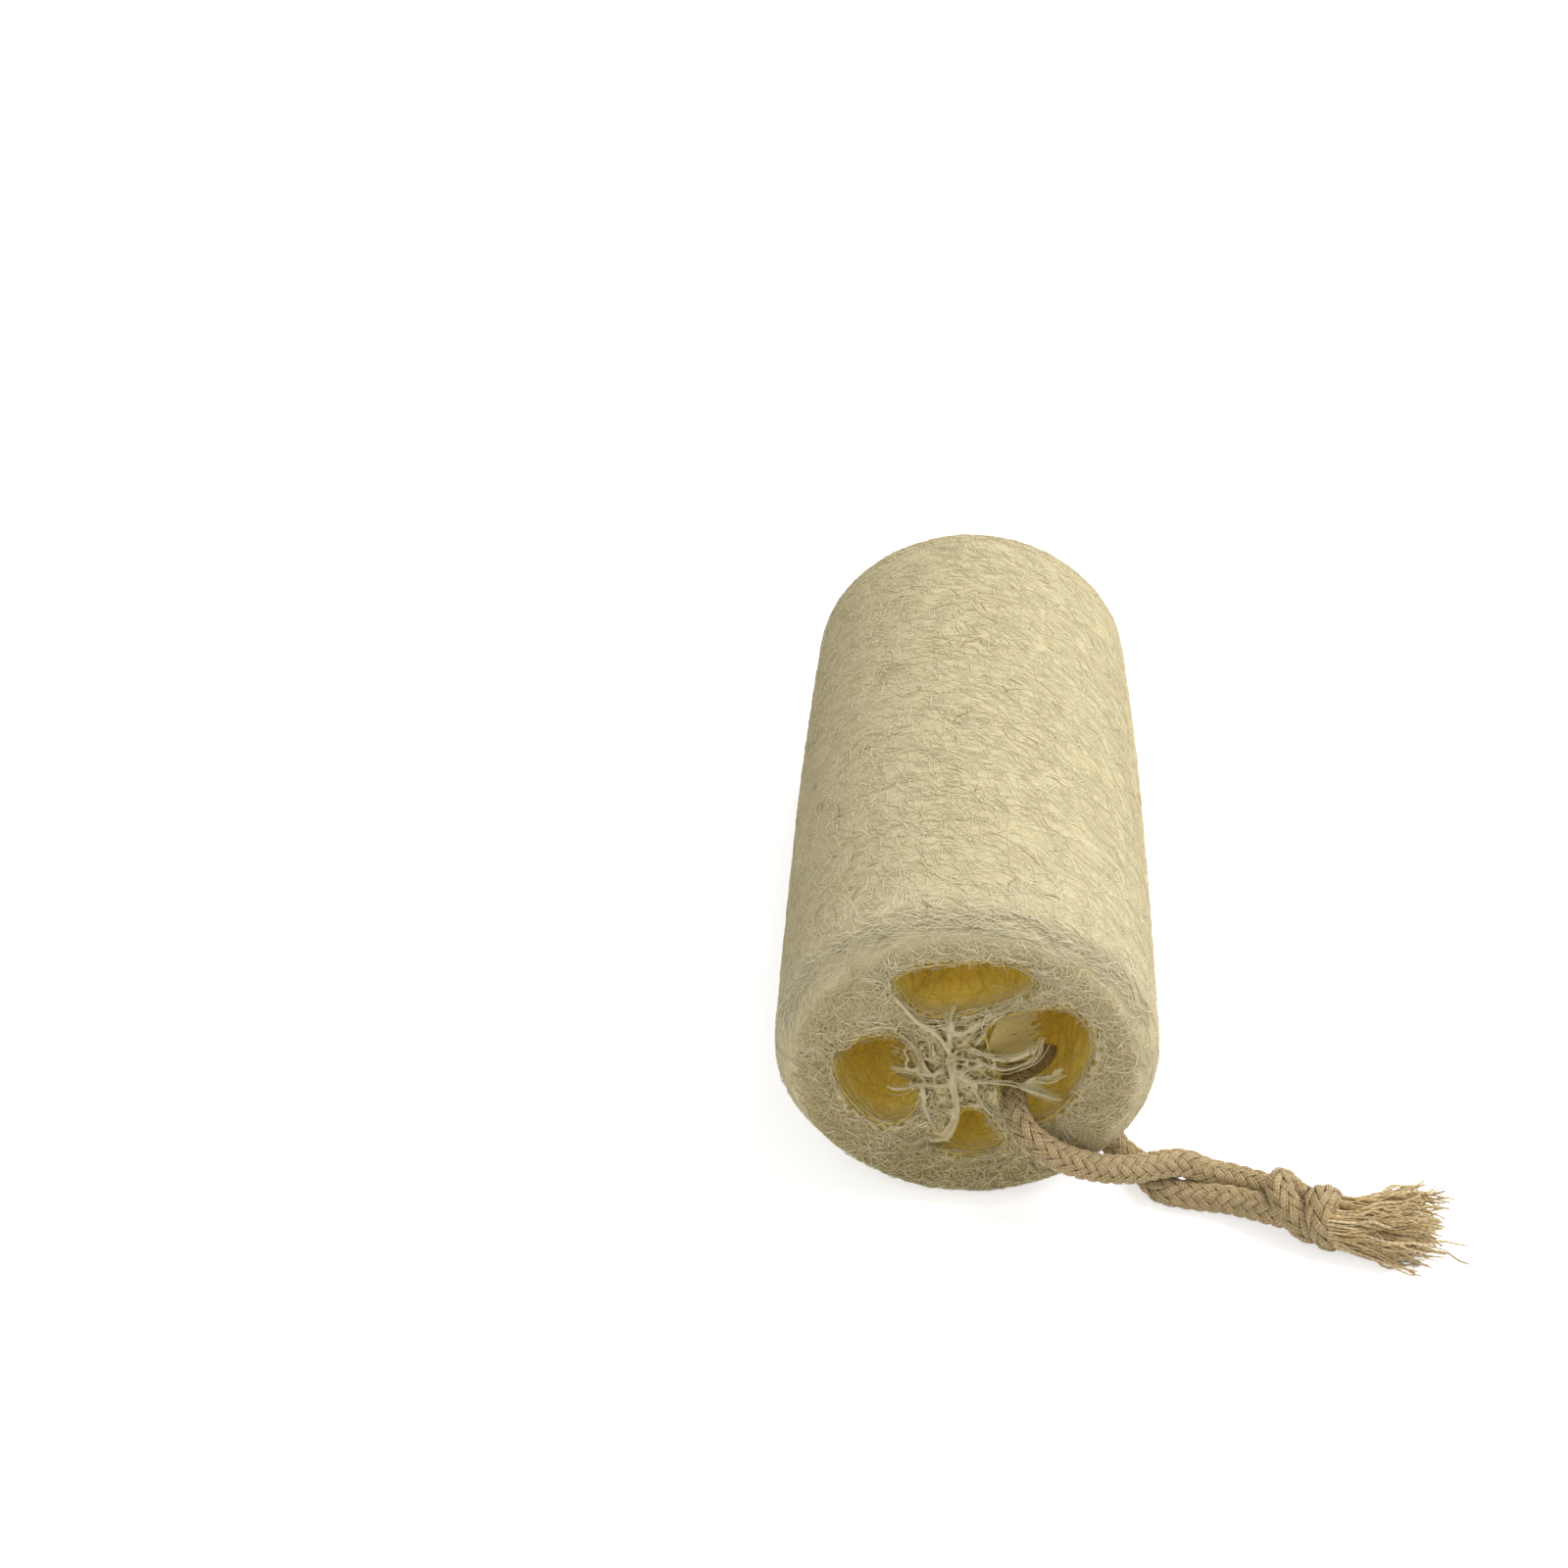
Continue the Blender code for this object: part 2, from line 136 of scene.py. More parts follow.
def addClouds(obj, name, size, strength, middle):  # uneven relief
    texture = bpy.data.textures.new(name, "CLOUDS")
    texture.noise_scale = size
    texture.noise_depth = 2
    addModifier(obj, name, "DISPLACE", texture=texture, texture_coords="LOCAL", strength=strength,
                mid_level=middle)


def applyModifiers(obj):
    makeActive(obj)
    for modifier in list(obj.modifiers):
        bpy.ops.object.modifier_apply(modifier=modifier.name)


def readPoints(mesh):
    co = np.empty(len(mesh.vertices) * 3)
    mesh.vertices.foreach_get("co", co)
    return co.reshape(-1, 3)


def writeAttribute(mesh, name, values):  # one number or one vector for each point
    kind, field = ("FLOAT_VECTOR", "vector") if values.ndim == 2 else ("FLOAT", "value")
    attribute = mesh.attributes.new(name, kind, "POINT")
    attribute.data.foreach_set(field, values.reshape(-1).astype(np.float32))


def unit(v):
    return v / np.maximum(np.linalg.norm(v, axis=-1, keepdims=True), 1e-12)


def quarterTurn(d):  # a flat direction turned by a right angle
    return np.stack([-d[..., 1], d[..., 0]], axis=-1)


def withY(flat, y):  # across and height, with the place along the sponge between them
    return np.stack([flat[..., 0], y, flat[..., 1]], axis=-1)


def smoothStep(low, high, x):
    t = np.clip((x - low) / (high - low), 0, 1)
    return t * t * (3 - 2 * t)


def hump(points):  # 0 at both ends of a fibre, 1 in its middle
    return np.sin(np.linspace(0, math.pi, points))


def between(low, high, n):  # one even random value for each fibre
    return rng.uniform(low, high, n)[:, None]


def about(middle, scatter, n):  # one random value for each fibre, near the middle
    return rng.normal(middle, scatter, n)[:, None]


def waves(s, low, high, n):  # each fibre waves at its own pitch
    return np.sin(s * between(low, high, n) + between(0, 6, n))


def steps(line):
    return np.linalg.norm(np.diff(line, axis=-2), axis=-1)


def distances(line):  # how far along the line each point lies
    each = steps(line)
    return np.concatenate([np.zeros_like(each[..., :1]), np.cumsum(each, axis=-1)], axis=-1)


def interpolate(at, places, values):
    return np.stack([np.interp(at, places, column) for column in values.T], axis=-1)


def curveThrough(points, spacing, closed=False):  # smooth line through given points, evenly spaced
    p = np.asarray(points, float)
    if closed:
        p = np.vstack([p[-1], p, p[0], p[1]])
    else:
        p = np.vstack([2 * p[0] - p[1], p, 2 * p[-1] - p[-2]])
    t = np.linspace(0, 1, 24, endpoint=False)[:, None]
    fine = []
    for a, b, c, d in zip(p, p[1:], p[2:], p[3:]):
        fine.append(0.5 * (2 * b + (c - a) * t + (2 * a - 5 * b + 4 * c - d) * t**2
                           + (3 * b - a - 3 * c + d) * t**3))
    fine = np.vstack(fine + [p[-2][None]])
    along = distances(fine)
    count = max(3, round(along[-1] / spacing))
    line = interpolate(np.linspace(0, along[-1], count + 1), along, fine)
    return line[:-1] if closed else line


def lineFrames(line):  # tangent, side and up along a line, carried without twist
    tangent = unit(np.gradient(line, axis=0))
    side = np.zeros_like(line)
    start = np.cross(tangent[0], (0.0, 0.0, 1.0))
    side[0] = unit(start if np.linalg.norm(start) > 1e-3 else np.cross(tangent[0], (0.0, 1.0, 0.0)))
    for i in range(1, len(line)):
        s = side[i - 1] - tangent[i] * (side[i - 1] @ tangent[i])
        side[i] = s / np.linalg.norm(s)
    return tangent, side, np.cross(side, tangent)


def tubePiece(name, paths, radii, ups, sides, tint, material, flat=1.0):
    # many thin closed tubes in one mesh; paths are (count, points, 3)
    count, points, _ = paths.shape
    radii = np.broadcast_to(radii, (count, points))
    tangent = unit(np.gradient(paths, axis=1))
    side = unit(np.cross(tangent, np.broadcast_to(ups, paths.shape)))
    up = np.cross(side, tangent)
    turn = 2 * math.pi * np.arange(sides) / sides
    ring = (np.cos(turn)[:, None] * side[:, :, None, :]
            + flat * np.sin(turn)[:, None] * up[:, :, None, :])
    verts = (paths[:, :, None, :] + radii[:, :, None, None] * ring).reshape(-1, 3)
    index = np.arange(count * points * sides).reshape(count, points, sides)
    after = np.roll(index, -1, axis=2)
    quads = np.stack([index[:, :-1], index[:, 1:], after[:, 1:], after[:, :-1]], axis=-1).reshape(-1)
    caps = np.concatenate([index[:, 0].reshape(-1), index[:, -1, ::-1].reshape(-1)])
    mesh = bpy.data.meshes.new(name)
    mesh.vertices.add(len(verts))
    mesh.vertices.foreach_set("co", verts.reshape(-1))
    mesh.loops.add(len(quads) + len(caps))
    mesh.loops.foreach_set("vertex_index", np.concatenate([quads, caps]))
    starts = np.concatenate([np.arange(0, len(quads), 4), len(quads) + np.arange(0, len(caps), sides)])
    mesh.polygons.add(len(starts))
    mesh.polygons.foreach_set("loop_start", starts)
    mesh.update(calc_edges=True)
    mesh.validate()
    mesh.shade_smooth()
    tint = np.broadcast_to(tint if tint.ndim == 2 else tint[:, None], (count, points))
    writeAttribute(mesh, "tint", np.repeat(tint.reshape(-1), sides))
    lay = np.zeros((count, points, sides, 3))  # how far along and how far round, for the twist of a yarn
    lay[..., 0], lay[..., 1] = distances(paths)[:, :, None], turn
    writeAttribute(mesh, "lay", lay.reshape(-1, 3))
    mesh.materials.append(material)
    obj = bpy.data.objects.new(name, mesh)
    bpy.context.scene.collection.objects.link(obj)
    return obj


def insideOutline(outline, x, z):  # even-odd test on a closed outline
    inside = np.zeros(x.shape, bool)
    for (x0, z0), (x1, z1) in zip(outline, np.roll(outline, -1, axis=0)):
        crosses = (z0 > z) != (z1 > z)
        inside ^= crosses & (x < (x1 - x0) * (z - z0) / (z1 - z0 + 1e-15) + x0)
    return inside


# the sponge's outline as a formula, shared by the body and by every fibre on it
hollowRing = curveThrough(coreHollow, sponge["hollowStep"], closed=True)
outlines = {name: curveThrough(points, sponge["mouthStep"], closed=True) for name, points in chambers.items()}


def rimInset(y):
    inset = 0
    for rim, fromEnd in ((sponge["frontRim"], y - frontY), (sponge["backRim"], backY - y)):
        inset = inset + rim - np.sqrt(rim**2 - np.clip(rim - fromEnd, 0, rim)**2)
    return inset


def ovalPoint(radius, theta):  # across and height
    return radius * np.cos(theta), sponge["middleZ"] + radius * np.sin(theta) * sponge["halfHeight"] / halfWidth


def roundHeight(z):  # height from the middle, with the oval stretched to a circle
    return (z - sponge["middleZ"]) * halfWidth / sponge["halfHeight"]


def fromMiddle(x, z):
    return np.hypot(x, roundHeight(z))


def wallPoint(theta, y, lift=0.0):
    share = 2 * y / (backY - frontY)
    radius = halfWidth - np.where(y < 0, sponge["frontNarrow"], sponge["backNarrow"]) * share**2 - rimInset(y)
    wave = (np.sin(3 * theta + 1.1 + 9 * y) * .35 + np.sin(5 * theta + 2.0 - 23 * y) * .30
            + np.sin(2 * theta - 31 * y + .4) * .35)
    past = np.mod(theta + math.pi, 2 * math.pi) - sponge["dentAt"]
    dent = sponge["dent"] * np.exp(-(past / sponge["dentWidth"])**2)
    radius = radius * (1 + sponge["wobble"] * (wave - 1) * .5 - dent) + lift
    x, z = ovalPoint(radius, theta)
    return np.stack([x, y + 0 * x, np.maximum(z, 0)], axis=-1)


def wallNormal(theta):
    return unit(np.stack([np.cos(theta), 0 * theta, np.sin(theta) * halfWidth / sponge["halfHeight"]], axis=-1))


# materials
paintedGlowColour = (.60, .42, .05)  # painted glow: the emission colour that stands in for light coming through the thin wall


def newMaterial(name):
    material = bpy.data.materials.new(name)
    material.use_nodes = True
    tree = material.node_tree
    return material, tree, tree.nodes["Principled BSDF"]


def setInput(tree, socket, value):  # another node's output, a colour or a number
    if isinstance(value, bpy.types.NodeSocket):
        tree.links.new(value, socket)
    else:
        socket.default_value = (*value, 1.0) if socket.type == "RGBA" else value


def setInputs(tree, node, settings):
    for name, value in settings.items():
        setInput(tree, node.inputs[name], value)


def addNode(tree, kind, **settings):
    node = tree.nodes.new(kind)
    for key, value in settings.items():
        if key in node.inputs:
            setInput(tree, node.inputs[key], value)
        else:
            setattr(node, key, value)
    return node


def addMath(tree, operation, *values, kind="ShaderNodeMath"):
    node = addNode(tree, kind, operation=operation)
    for socket, value in zip(node.inputs, values):
        setInput(tree, socket, value)
    return node.outputs[0]


def addNoise(tree, place, scale, detail, output="Fac"):
    return addNode(tree, "ShaderNodeTexNoise", Vector=place, Scale=scale, Detail=detail).outputs[output]


def addBump(tree, height, strength, distance):
    bump = addNode(tree, "ShaderNodeBump", Height=height, Strength=strength, Distance=distance)
    return bump.outputs["Normal"]


def addRamp(tree, source, stops):
    ramp = tree.nodes.new("ShaderNodeValToRGB")
    elements = ramp.color_ramp.elements
    while len(elements) < len(stops):
        elements.new(0.5)
    for element, (place, colour) in zip(elements, stops):
        element.position = place
        element.color = (*colour, 1.0)
    tree.links.new(source, ramp.inputs["Fac"])
    return ramp.outputs["Color"]


def mixColour(tree, factor, a, b, mode="MIX"):
    mix = addNode(tree, "ShaderNodeMix", data_type="RGBA", blend_type=mode)
    for i, value in ((0, factor), (6, a), (7, b)):
        setInput(tree, mix.inputs[i], value)
    return mix.outputs[2]


def objectPlace(tree):
    return addNode(tree, "ShaderNodeTexCoord").outputs["Object"]


def readAttribute(tree, name, output="Fac"):
    return addNode(tree, "ShaderNodeAttribute", attribute_name=name).outputs[output]


# glow gives the fibres a painted glow: an emission that stands in for light coming through the thin wall
def fibreMaterial(name, stops, blotch=.25, thin=.35, glow=0.0):
    material, tree, shader = newMaterial(name)
    place = objectPlace(tree)
    colour = addRamp(tree, readAttribute(tree, "tint"), stops)
    blotches = addRamp(tree, addNoise(tree, place, 90.0, 4.0), [(.45, (0, 0, 0)), (.75, (blotch,) * 3)])
    streaks = addNoise(tree, place, 2600.0, 2.0)
    setInputs(tree, shader, {
        "Base Color": mixColour(tree, blotches, colour, (.62, .47, .18)),
        "Roughness": addRamp(tree, streaks, [(.3, (.68,) * 3), (.7, (.9,) * 3)]),
        "Normal": addBump(tree, streaks, .3, .0001),
        "Specular IOR Level": .25,
        "Subsurface Weight": thin, "Subsurface Radius": (1.0, .75, .35), "Subsurface Scale": .0012,
        "Emission Color": paintedGlowColour, "Emission Strength": glow})
    return material


def matMaterial(name):
    material, tree, shader = newMaterial(name)
    place = objectPlace(tree)
    amberGlow = readAttribute(tree, "amberGlow")
    warped = addMath(tree, "MULTIPLY_ADD", addNoise(tree, place, 160.0, 2.0, "Color"), (.004, .004, 0),
                     readAttribute(tree, "wrap", "Vector"), kind="ShaderNodeVectorMath")
    layers = []
    for scale, turn in ((1.0, .25), (1.3, -.35)):  # two crossing layers of fine fibres
        stretch = addNode(tree, "ShaderNodeMapping", Vector=warped, Rotation=(0, 0, turn),
                          Scale=(170 * scale, 1500 * scale, 1))
        layers.append(addNoise(tree, stretch.outputs["Vector"], 1.0, 3.0))
    streaks = addMath(tree, "MAXIMUM", *layers)
    colour = addRamp(tree, streaks,
                     [(.34, (.45, .38, .215)), (.50, (.515, .445, .265)), (.66, (.575, .505, .32))])
    # small dark specks scattered over the mat
    darkSpecks = addRamp(tree, addNoise(tree, place, 1100.0, 1.0), [(.62, (0, 0, 0)), (.74, (.6,) * 3)])
    colour = mixColour(tree, darkSpecks, colour, (.34, .24, .09))
    # a net on the cut face: pale fibre edges, with the cells between them darkened as painted shade of the
    # holes
    net = addNode(tree, "ShaderNodeTexVoronoi", feature="DISTANCE_TO_EDGE", Vector=place, Scale=700.0)
    netColour = addRamp(tree, net.outputs["Distance"],
                        [(.02, (.66, .58, .36)), (.16, (.46, .36, .15)), (.4, (.30, .21, .05))])
    colour = mixColour(tree, readAttribute(tree, "face"), colour, netColour)
    # the chambers' amber, brighter than the wall's own colour, with a painted glow (emission) that stands in
    # for light coming through the thin wall
    glowingAmber = addRamp(tree, addNoise(tree, place, 120.0, 4.0), [(.35, (.60, .43, .06)), (.65, (.74, .58, .16))])
    setInputs(tree, shader, {
        "Base Color": mixColour(tree, amberGlow, colour, glowingAmber),
        "Roughness": .9, "Specular IOR Level": .2, "Normal": addBump(tree, streaks, .6, .0004),
        "Emission Color": paintedGlowColour, "Emission Strength": addMath(tree, "MULTIPLY", amberGlow, .17),
        "Subsurface Weight": addMath(tree, "MULTIPLY_ADD", amberGlow, .4, .1),  # deepest within the chambers
        "Subsurface Radius": (1.0, .7, .22), "Subsurface Scale": .004})
    return material


def cottonMaterial(name, stops, twist):
    material, tree, shader = newMaterial(name)
    lay = addNode(tree, "ShaderNodeSeparateXYZ", Vector=readAttribute(tree, "lay", "Vector")).outputs
    wave = addMath(tree, "SINE", addMath(tree, "MULTIPLY_ADD", lay["X"], twist, lay["Y"]))
    height = addMath(tree, "MULTIPLY_ADD", wave, .25, addNoise(tree, objectPlace(tree), 3200.0, 3.0))
    colour = addRamp(tree, readAttribute(tree, "tint"), stops)
    # painted shade: the colour darkens in the low grooves of the yarn's twist
    grooveShade = addRamp(tree, height, [(.2, (.62, .56, .46)), (.75, (1, 1, 1))])
    setInputs(tree, shader, {
        "Base Color": mixColour(tree, .8, colour, grooveShade, "MULTIPLY"),
        "Roughness": .92, "Specular IOR Level": .15, "Sheen Weight": .25, "Sheen Roughness": .5,
        "Normal": addBump(tree, height, .5, .0002)})
    return material


wallMat = matMaterial("loofahMat")
wallFibre = fibreMaterial(
    "loofahFibre",
    [(0, (.26, .18, .08)), (.06, (.56, .48, .27)), (.45, (.70, .615, .385)), (1, (.80, .735, .54))],
    blotch=.12, thin=0)
faceFibre = fibreMaterial(
    "cutFibre", [(0, (.50, .40, .19)), (.5, (.66, .56, .33)), (1, (.77, .70, .48))], blotch=.2, thin=0)
coreFibre = fibreMaterial(
    "coreFibre", [(0, (.34, .26, .10)), (.5, (.41, .34, .18)), (1, (.49, .43, .28))], blotch=.15, thin=.15)
webSkin = fibreMaterial(
    "webSkin", [(0, (.32, .23, .055)), (.5, (.40, .32, .14)), (1, (.51, .445, .275))], blotch=.2, thin=.15)
# the chamber lining: bright amber fibres with a painted glow that stands in for light coming through the thin
# wall
liningFibre = fibreMaterial(
    "liningFibre", [(0, (.50, .36, .06)), (.6, (.62, .48, .13)), (1, (.72, .62, .30))], glow=.10)
cordCotton = cottonMaterial(
    "cordCotton", [(0, (.25, .165, .065)), (.5, (.41, .30, .14)), (1, (.57, .45, .26))], twist=9000)
tasselCotton = cottonMaterial(
    "tasselCotton", [(0, (.42, .29, .12)), (.5, (.64, .48, .24)), (1, (.80, .67, .43))], twist=6000)
print("materials mixed")


# the sponge's body: a cylinder shaped to the barrel, with the chambers cut through it
def makeBarrel():
    deselectAll()
    bpy.ops.mesh.primitive_cylinder_add(vertices=sponge["around"], radius=1, depth=1, end_fill_type="NGON")
    body = bpy.context.object
    body.name = body.data.name = "spongeBody"
    bpy.ops.object.mode_set(mode="EDIT")
    bpy.ops.mesh.select_all(action="DESELECT")
    bpy.ops.object.mode_set(mode="OBJECT")
    for edge in body.data.edges:  # the upright edges of the side
        a, b = (body.data.vertices[i].co for i in edge.vertices)
        edge.select = abs(a.z - b.z) > .5
    bpy.ops.object.mode_set(mode="EDIT")
    bpy.ops.mesh.select_mode(type="EDGE")
    bpy.ops.mesh.subdivide(number_cuts=sponge["ringCuts"])
    bpy.ops.object.mode_set(mode="OBJECT")
    co = readPoints(body.data)
    t = co[:, 2] + .5
    ends = np.minimum(t, 1 - t) * 2
    crowd = .5 - .5 * np.sign(.5 - t) * (1 - ends**sponge["crowding"])  # rings crowd towards the two rims
    shaped = wallPoint(np.arctan2(co[:, 1], co[:, 0]), frontY + (backY - frontY) * crowd)
    body.data.vertices.foreach_set("co", shaped.reshape(-1))
    faceOutward()
    return body


def makeCutter(name, outline, near, far):
    ring = curveThrough(outline, sponge["cutterStep"], closed=True)
    deselectAll()
    bpy.ops.mesh.primitive_circle_add(vertices=len(ring), radius=1, fill_type="NGON")
    cutter = bpy.context.object
    cutter.name = "cutter_" + name
    cutter.data.vertices.foreach_set("co", withY(ring, np.full(len(ring), near)).reshape(-1))
    bpy.ops.object.mode_set(mode="EDIT")
    bpy.ops.mesh.select_all(action="SELECT")
    bpy.ops.mesh.extrude_region_move(TRANSFORM_OT_translate={"value": (0, far - near, 0)})
    bpy.ops.object.mode_set(mode="OBJECT")
    faceOutward()
    return cutter


def paintBody(mesh, co):  # where the body is amber and given a painted glow, where it is cut, and how the mat wraps round it
    theta = np.arctan2(roundHeight(co[:, 2]), co[:, 0])
    edge = np.linalg.norm(wallPoint(theta, co[:, 1]) - co, axis=1)
    depth = np.minimum(co[:, 1] - frontY, backY - co[:, 1])
    within = edge > sponge["skin"]
    shallow, deep = sponge["hollowDepth"]
    sunk = insideOutline(hollowRing, co[:, 0], co[:, 2]) & (depth > shallow) & (depth < deep)
    amberGlow = np.where(within & ~sunk, smoothStep(*sponge["amberGlowDepth"], depth), 0)
    face = 1 - smoothStep(*sponge["faceDepth"], depth)
    face = face * np.where(within, 1, smoothStep(0, sponge["skin"], edge))
    wrap = np.stack([theta * fromMiddle(co[:, 0], co[:, 2]), co[:, 1], 0 * theta], axis=-1)
    for name, values in (("amberGlow", amberGlow), ("face", face), ("wrap", wrap)):
        writeAttribute(mesh, name, values)


def makeSpongeBody():
    body = makeBarrel()
    before, behind = frontY - sponge["beyond"], backY + sponge["beyond"]
    hollows = [(name, outline, before, behind) for name, outline in chambers.items()]
    hollows.append(("frontHollow", coreHollow, before, frontY + sponge["recess"]))
    hollows.append(("backHollow", coreHollow, backY - sponge["recess"], behind))
    for hollow in hollows:
        cutter = makeCutter(*hollow)
        addModifier(body, "cut", "BOOLEAN", object=cutter, solver="MANIFOLD")
        applyModifiers(body)
        bpy.data.objects.remove(cutter)
    addModifier(body, "remesh", "REMESH", mode="VOXEL", voxel_size=sponge["voxel"])
    addModifier(body, "soften", "SMOOTH", iterations=3)
    for name, size, strength in sponge["clouds"]:
        addClouds(body, name, size, strength, 1.0)
    applyModifiers(body)
    mesh = body.data
    co = readPoints(mesh)
    co[:, 2] = np.maximum(co[:, 2], 0)
    mesh.vertices.foreach_set("co", co.reshape(-1))
    paintBody(mesh, co)
    mesh.materials.clear()
    mesh.materials.append(wallMat)
    mesh.shade_smooth()
    print("sponge body:", len(mesh.vertices), "points")
    return body


spongeBody = makeSpongeBody()
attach(spongeBody, "sponge")
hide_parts("sponge_wall", "core_web")

# fibres that make the outer mat, with a loose pale lip along the top of the front rim
outerMat = {
    "count": 28000, "points": 5, "length": (.0022, .0066), "thick": (.00005, .00010), "flat": .5, "batches": 4,
    "lean": .9, "spread": .9, "curl": 60, "sway": .35, "pitch": (300, 900),
    "lift": .00020, "sunk": .00008, "rootFront": .001, "rootBack": .003, "frontGap": .0006, "ragged": .0012,
    "backGap": .0012,
    "lip": 700, "lipAround": (.25, 2.9), "lipBand": (.0012, .0048), "lipSpread": .25, "lipLift": .0005,
    "darkStubs": .012,
}


def makeOuterMat():
    n, m = outerMat["count"], outerMat["points"]
    length = rng.uniform(*outerMat["length"], n)
    theta = rng.uniform(-math.pi, math.pi, n)
    y = rng.uniform(frontY + outerMat["rootFront"], backY - outerMat["rootBack"], n)
    heading = rng.normal(outerMat["lean"], outerMat["spread"], n)
    lip = np.arange(n) % (n // outerMat["lip"]) == 0
    theta = np.where(lip, rng.uniform(*outerMat["lipAround"], n), theta)
    y = np.where(lip, frontY + rng.uniform(*outerMat["lipBand"], n), y)
    heading = np.where(lip, rng.normal(0, outerMat["lipSpread"], n), heading)
    s = np.linspace(-.5, .5, m)[None] * length[:, None]
    turn = heading[:, None] + about(0, outerMat["curl"], n) * s
    turn = turn + outerMat["sway"] * waves(s, *outerMat["pitch"], n)
    step = np.diff(s, axis=1, prepend=s[:, :1] - (s[:, 1:2] - s[:, :1]))
    ys = y[:, None] + np.cumsum(np.sin(turn) * step, axis=1)
    nearest = frontY + outerMat["frontGap"] + between(0, outerMat["ragged"], n)
    ys = np.clip(ys, nearest, backY - outerMat["backGap"])
    thetas = theta[:, None] + np.cumsum(np.cos(turn) * step, axis=1) / halfWidth
    arch = hump(m)[None]
    lift = between(-.2, 1, n)**3 * outerMat["lift"] * arch - outerMat["sunk"] * (1 - arch)
    lift = lift + lip[:, None] * between(0, outerMat["lipLift"], n) * (.3 + .7 * arch)
    paths = wallPoint(thetas, ys, lift)
    paths[..., 2] = np.maximum(paths[..., 2], floorGap)
    radii = between(*outerMat["thick"], n) * (.55 + .45 * arch)
    # lighter within the first few millimetres of the front rim; painted light: also lighter on the right-hand
    # flank, which faces the key lamp
    paleFrontAndLitFlank = .25 * (1 - smoothStep(.003, .018, y - frontY)) + .3 * smoothStep(.2, 1, np.cos(theta - .3))
    tint = np.clip(rng.normal(.46, .16, n) + paleFrontAndLitFlank, .06, 1)
    tint = np.where(lip, np.clip(tint + .3, 0, 1), tint)
    tint[rng.uniform(0, 1, n) < outerMat["darkStubs"]] = 0
    for i, batch in enumerate(np.array_split(np.arange(n), outerMat["batches"])):
        obj = tubePiece("outerMat_%d" % i, paths[batch], radii[batch], wallNormal(thetas[batch]), 3,
                        tint[batch], wallFibre, outerMat["flat"])
        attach(obj, "sponge")
    print("outer mat:", n, "fibres")


makeOuterMat()

# fibres of the two cut ends
cutEnds = {"count": 7000, "points": 5, "length": (.0015, .0055), "thick": (.00006, .00012), "lift": .0004,
           "curl": 350, "edge": .0012, "edgeInside": .0026, "overMouth": .1,
           "standing": 1.5, "lowEdge": (.006, .015)}


def inChamber(x, z):
    hit = np.zeros(x.shape, bool)
    for outline in outlines.values():
        hit |= insideOutline(outline, x, z)
    return hit


def endDepth(x, z, rim, narrow):  # how far the rounded rim falls back from the end plane
    over = np.clip(fromMiddle(x, z) - (halfWidth - narrow - rim), 0, rim * .98)
    return rim - np.sqrt(rim**2 - over**2)


def makeCutEnds():
    n, m = cutEnds["count"], cutEnds["points"]
    arch = hump(m)[None]
    for label, plane, out, rim, narrow in (("front", frontY, -1, sponge["frontRim"], cutEnds["edge"]),
                                           ("back", backY, 1, sponge["backRim"], cutEnds["edgeInside"])):
        r = np.sqrt(rng.uniform(0, 1, n * 2)) * (halfWidth - cutEnds["edge"])
        x, z = ovalPoint(r, rng.uniform(-math.pi, math.pi, n * 2))
        keep = ~inChamber(x, z) & (z > .001) & ~insideOutline(hollowRing, x, z)  # the core has a net of its own
        x, z = x[keep][:n], z[keep][:n]
        k = len(x)
        s = np.linspace(-.5, .5, m)[None] * between(*cutEnds["length"], k)
        turn = between(0, 2 * math.pi, k) + about(0, cutEnds["curl"], k) * s
        step = s[:, 1:2] - s[:, :1]
        xs = x[:, None] + np.cumsum(np.cos(turn) * step, axis=1)
        zs = np.maximum(z[:, None] + np.cumsum(np.sin(turn) * step, axis=1), floorGap)
        mayCross = 1 + 2 * (rng.uniform(0, 1, k) < cutEnds["overMouth"])  # a few reach over a mouth
        fit = inChamber(xs, zs).sum(axis=1) < mayCross
        fit &= fromMiddle(xs, zs).max(axis=1) < halfWidth - cutEnds["edgeInside"]
        xs, zs, k = xs[fit], zs[fit], int(fit.sum())
        height = zs.mean(axis=1)
        low = 1 - smoothStep(*cutEnds["lowEdge"], height[:, None])
        loose = 1 + cutEnds["standing"] * low  # loops stand up along the lower edge
        lift = between(-.2, 1, k) * cutEnds["lift"] * loose * arch + .0001
        ys = plane + out * (lift - endDepth(xs, zs, rim, narrow))
        radii = between(*cutEnds["thick"], k) * (.5 + .5 * arch)
        # painted shade: the fibres darken towards the bottom of the cut end and lighten towards its top
        tint = np.clip(rng.normal(.48, .22, k) + 9 * (height - .030), 0, 1)
        paths = np.stack([xs, ys, zs], axis=-1)
        obj = tubePiece("cutEnd_" + label, paths, radii, (0, out, 0), 3, tint, faceFibre)
        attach(obj, "sponge")
        print("cut end", label + ":", k, "fibres")


makeCutEnds()

# fibres that line the chambers, and the pale rope of fibres and short teeth at each mouth
lining = {
    "points": 6,
    "count": 760, "length": (.006, .022), "thick": (.00008, .00016), "reach": .075, "pitch": (200, 500),
    "span": (.0004, .0735), "lean": .45, "crossing": .3, "crossTurn": 1.4,  # some cross the rest
    "ropeFibres": 26, "ropeLength": (.003, .009), "ropeThick": (.00007, .00014),
    "teeth": 90, "toothLength": (.0004, .0016), "toothThick": (.00006, .00012), "overhang": -.25,
}


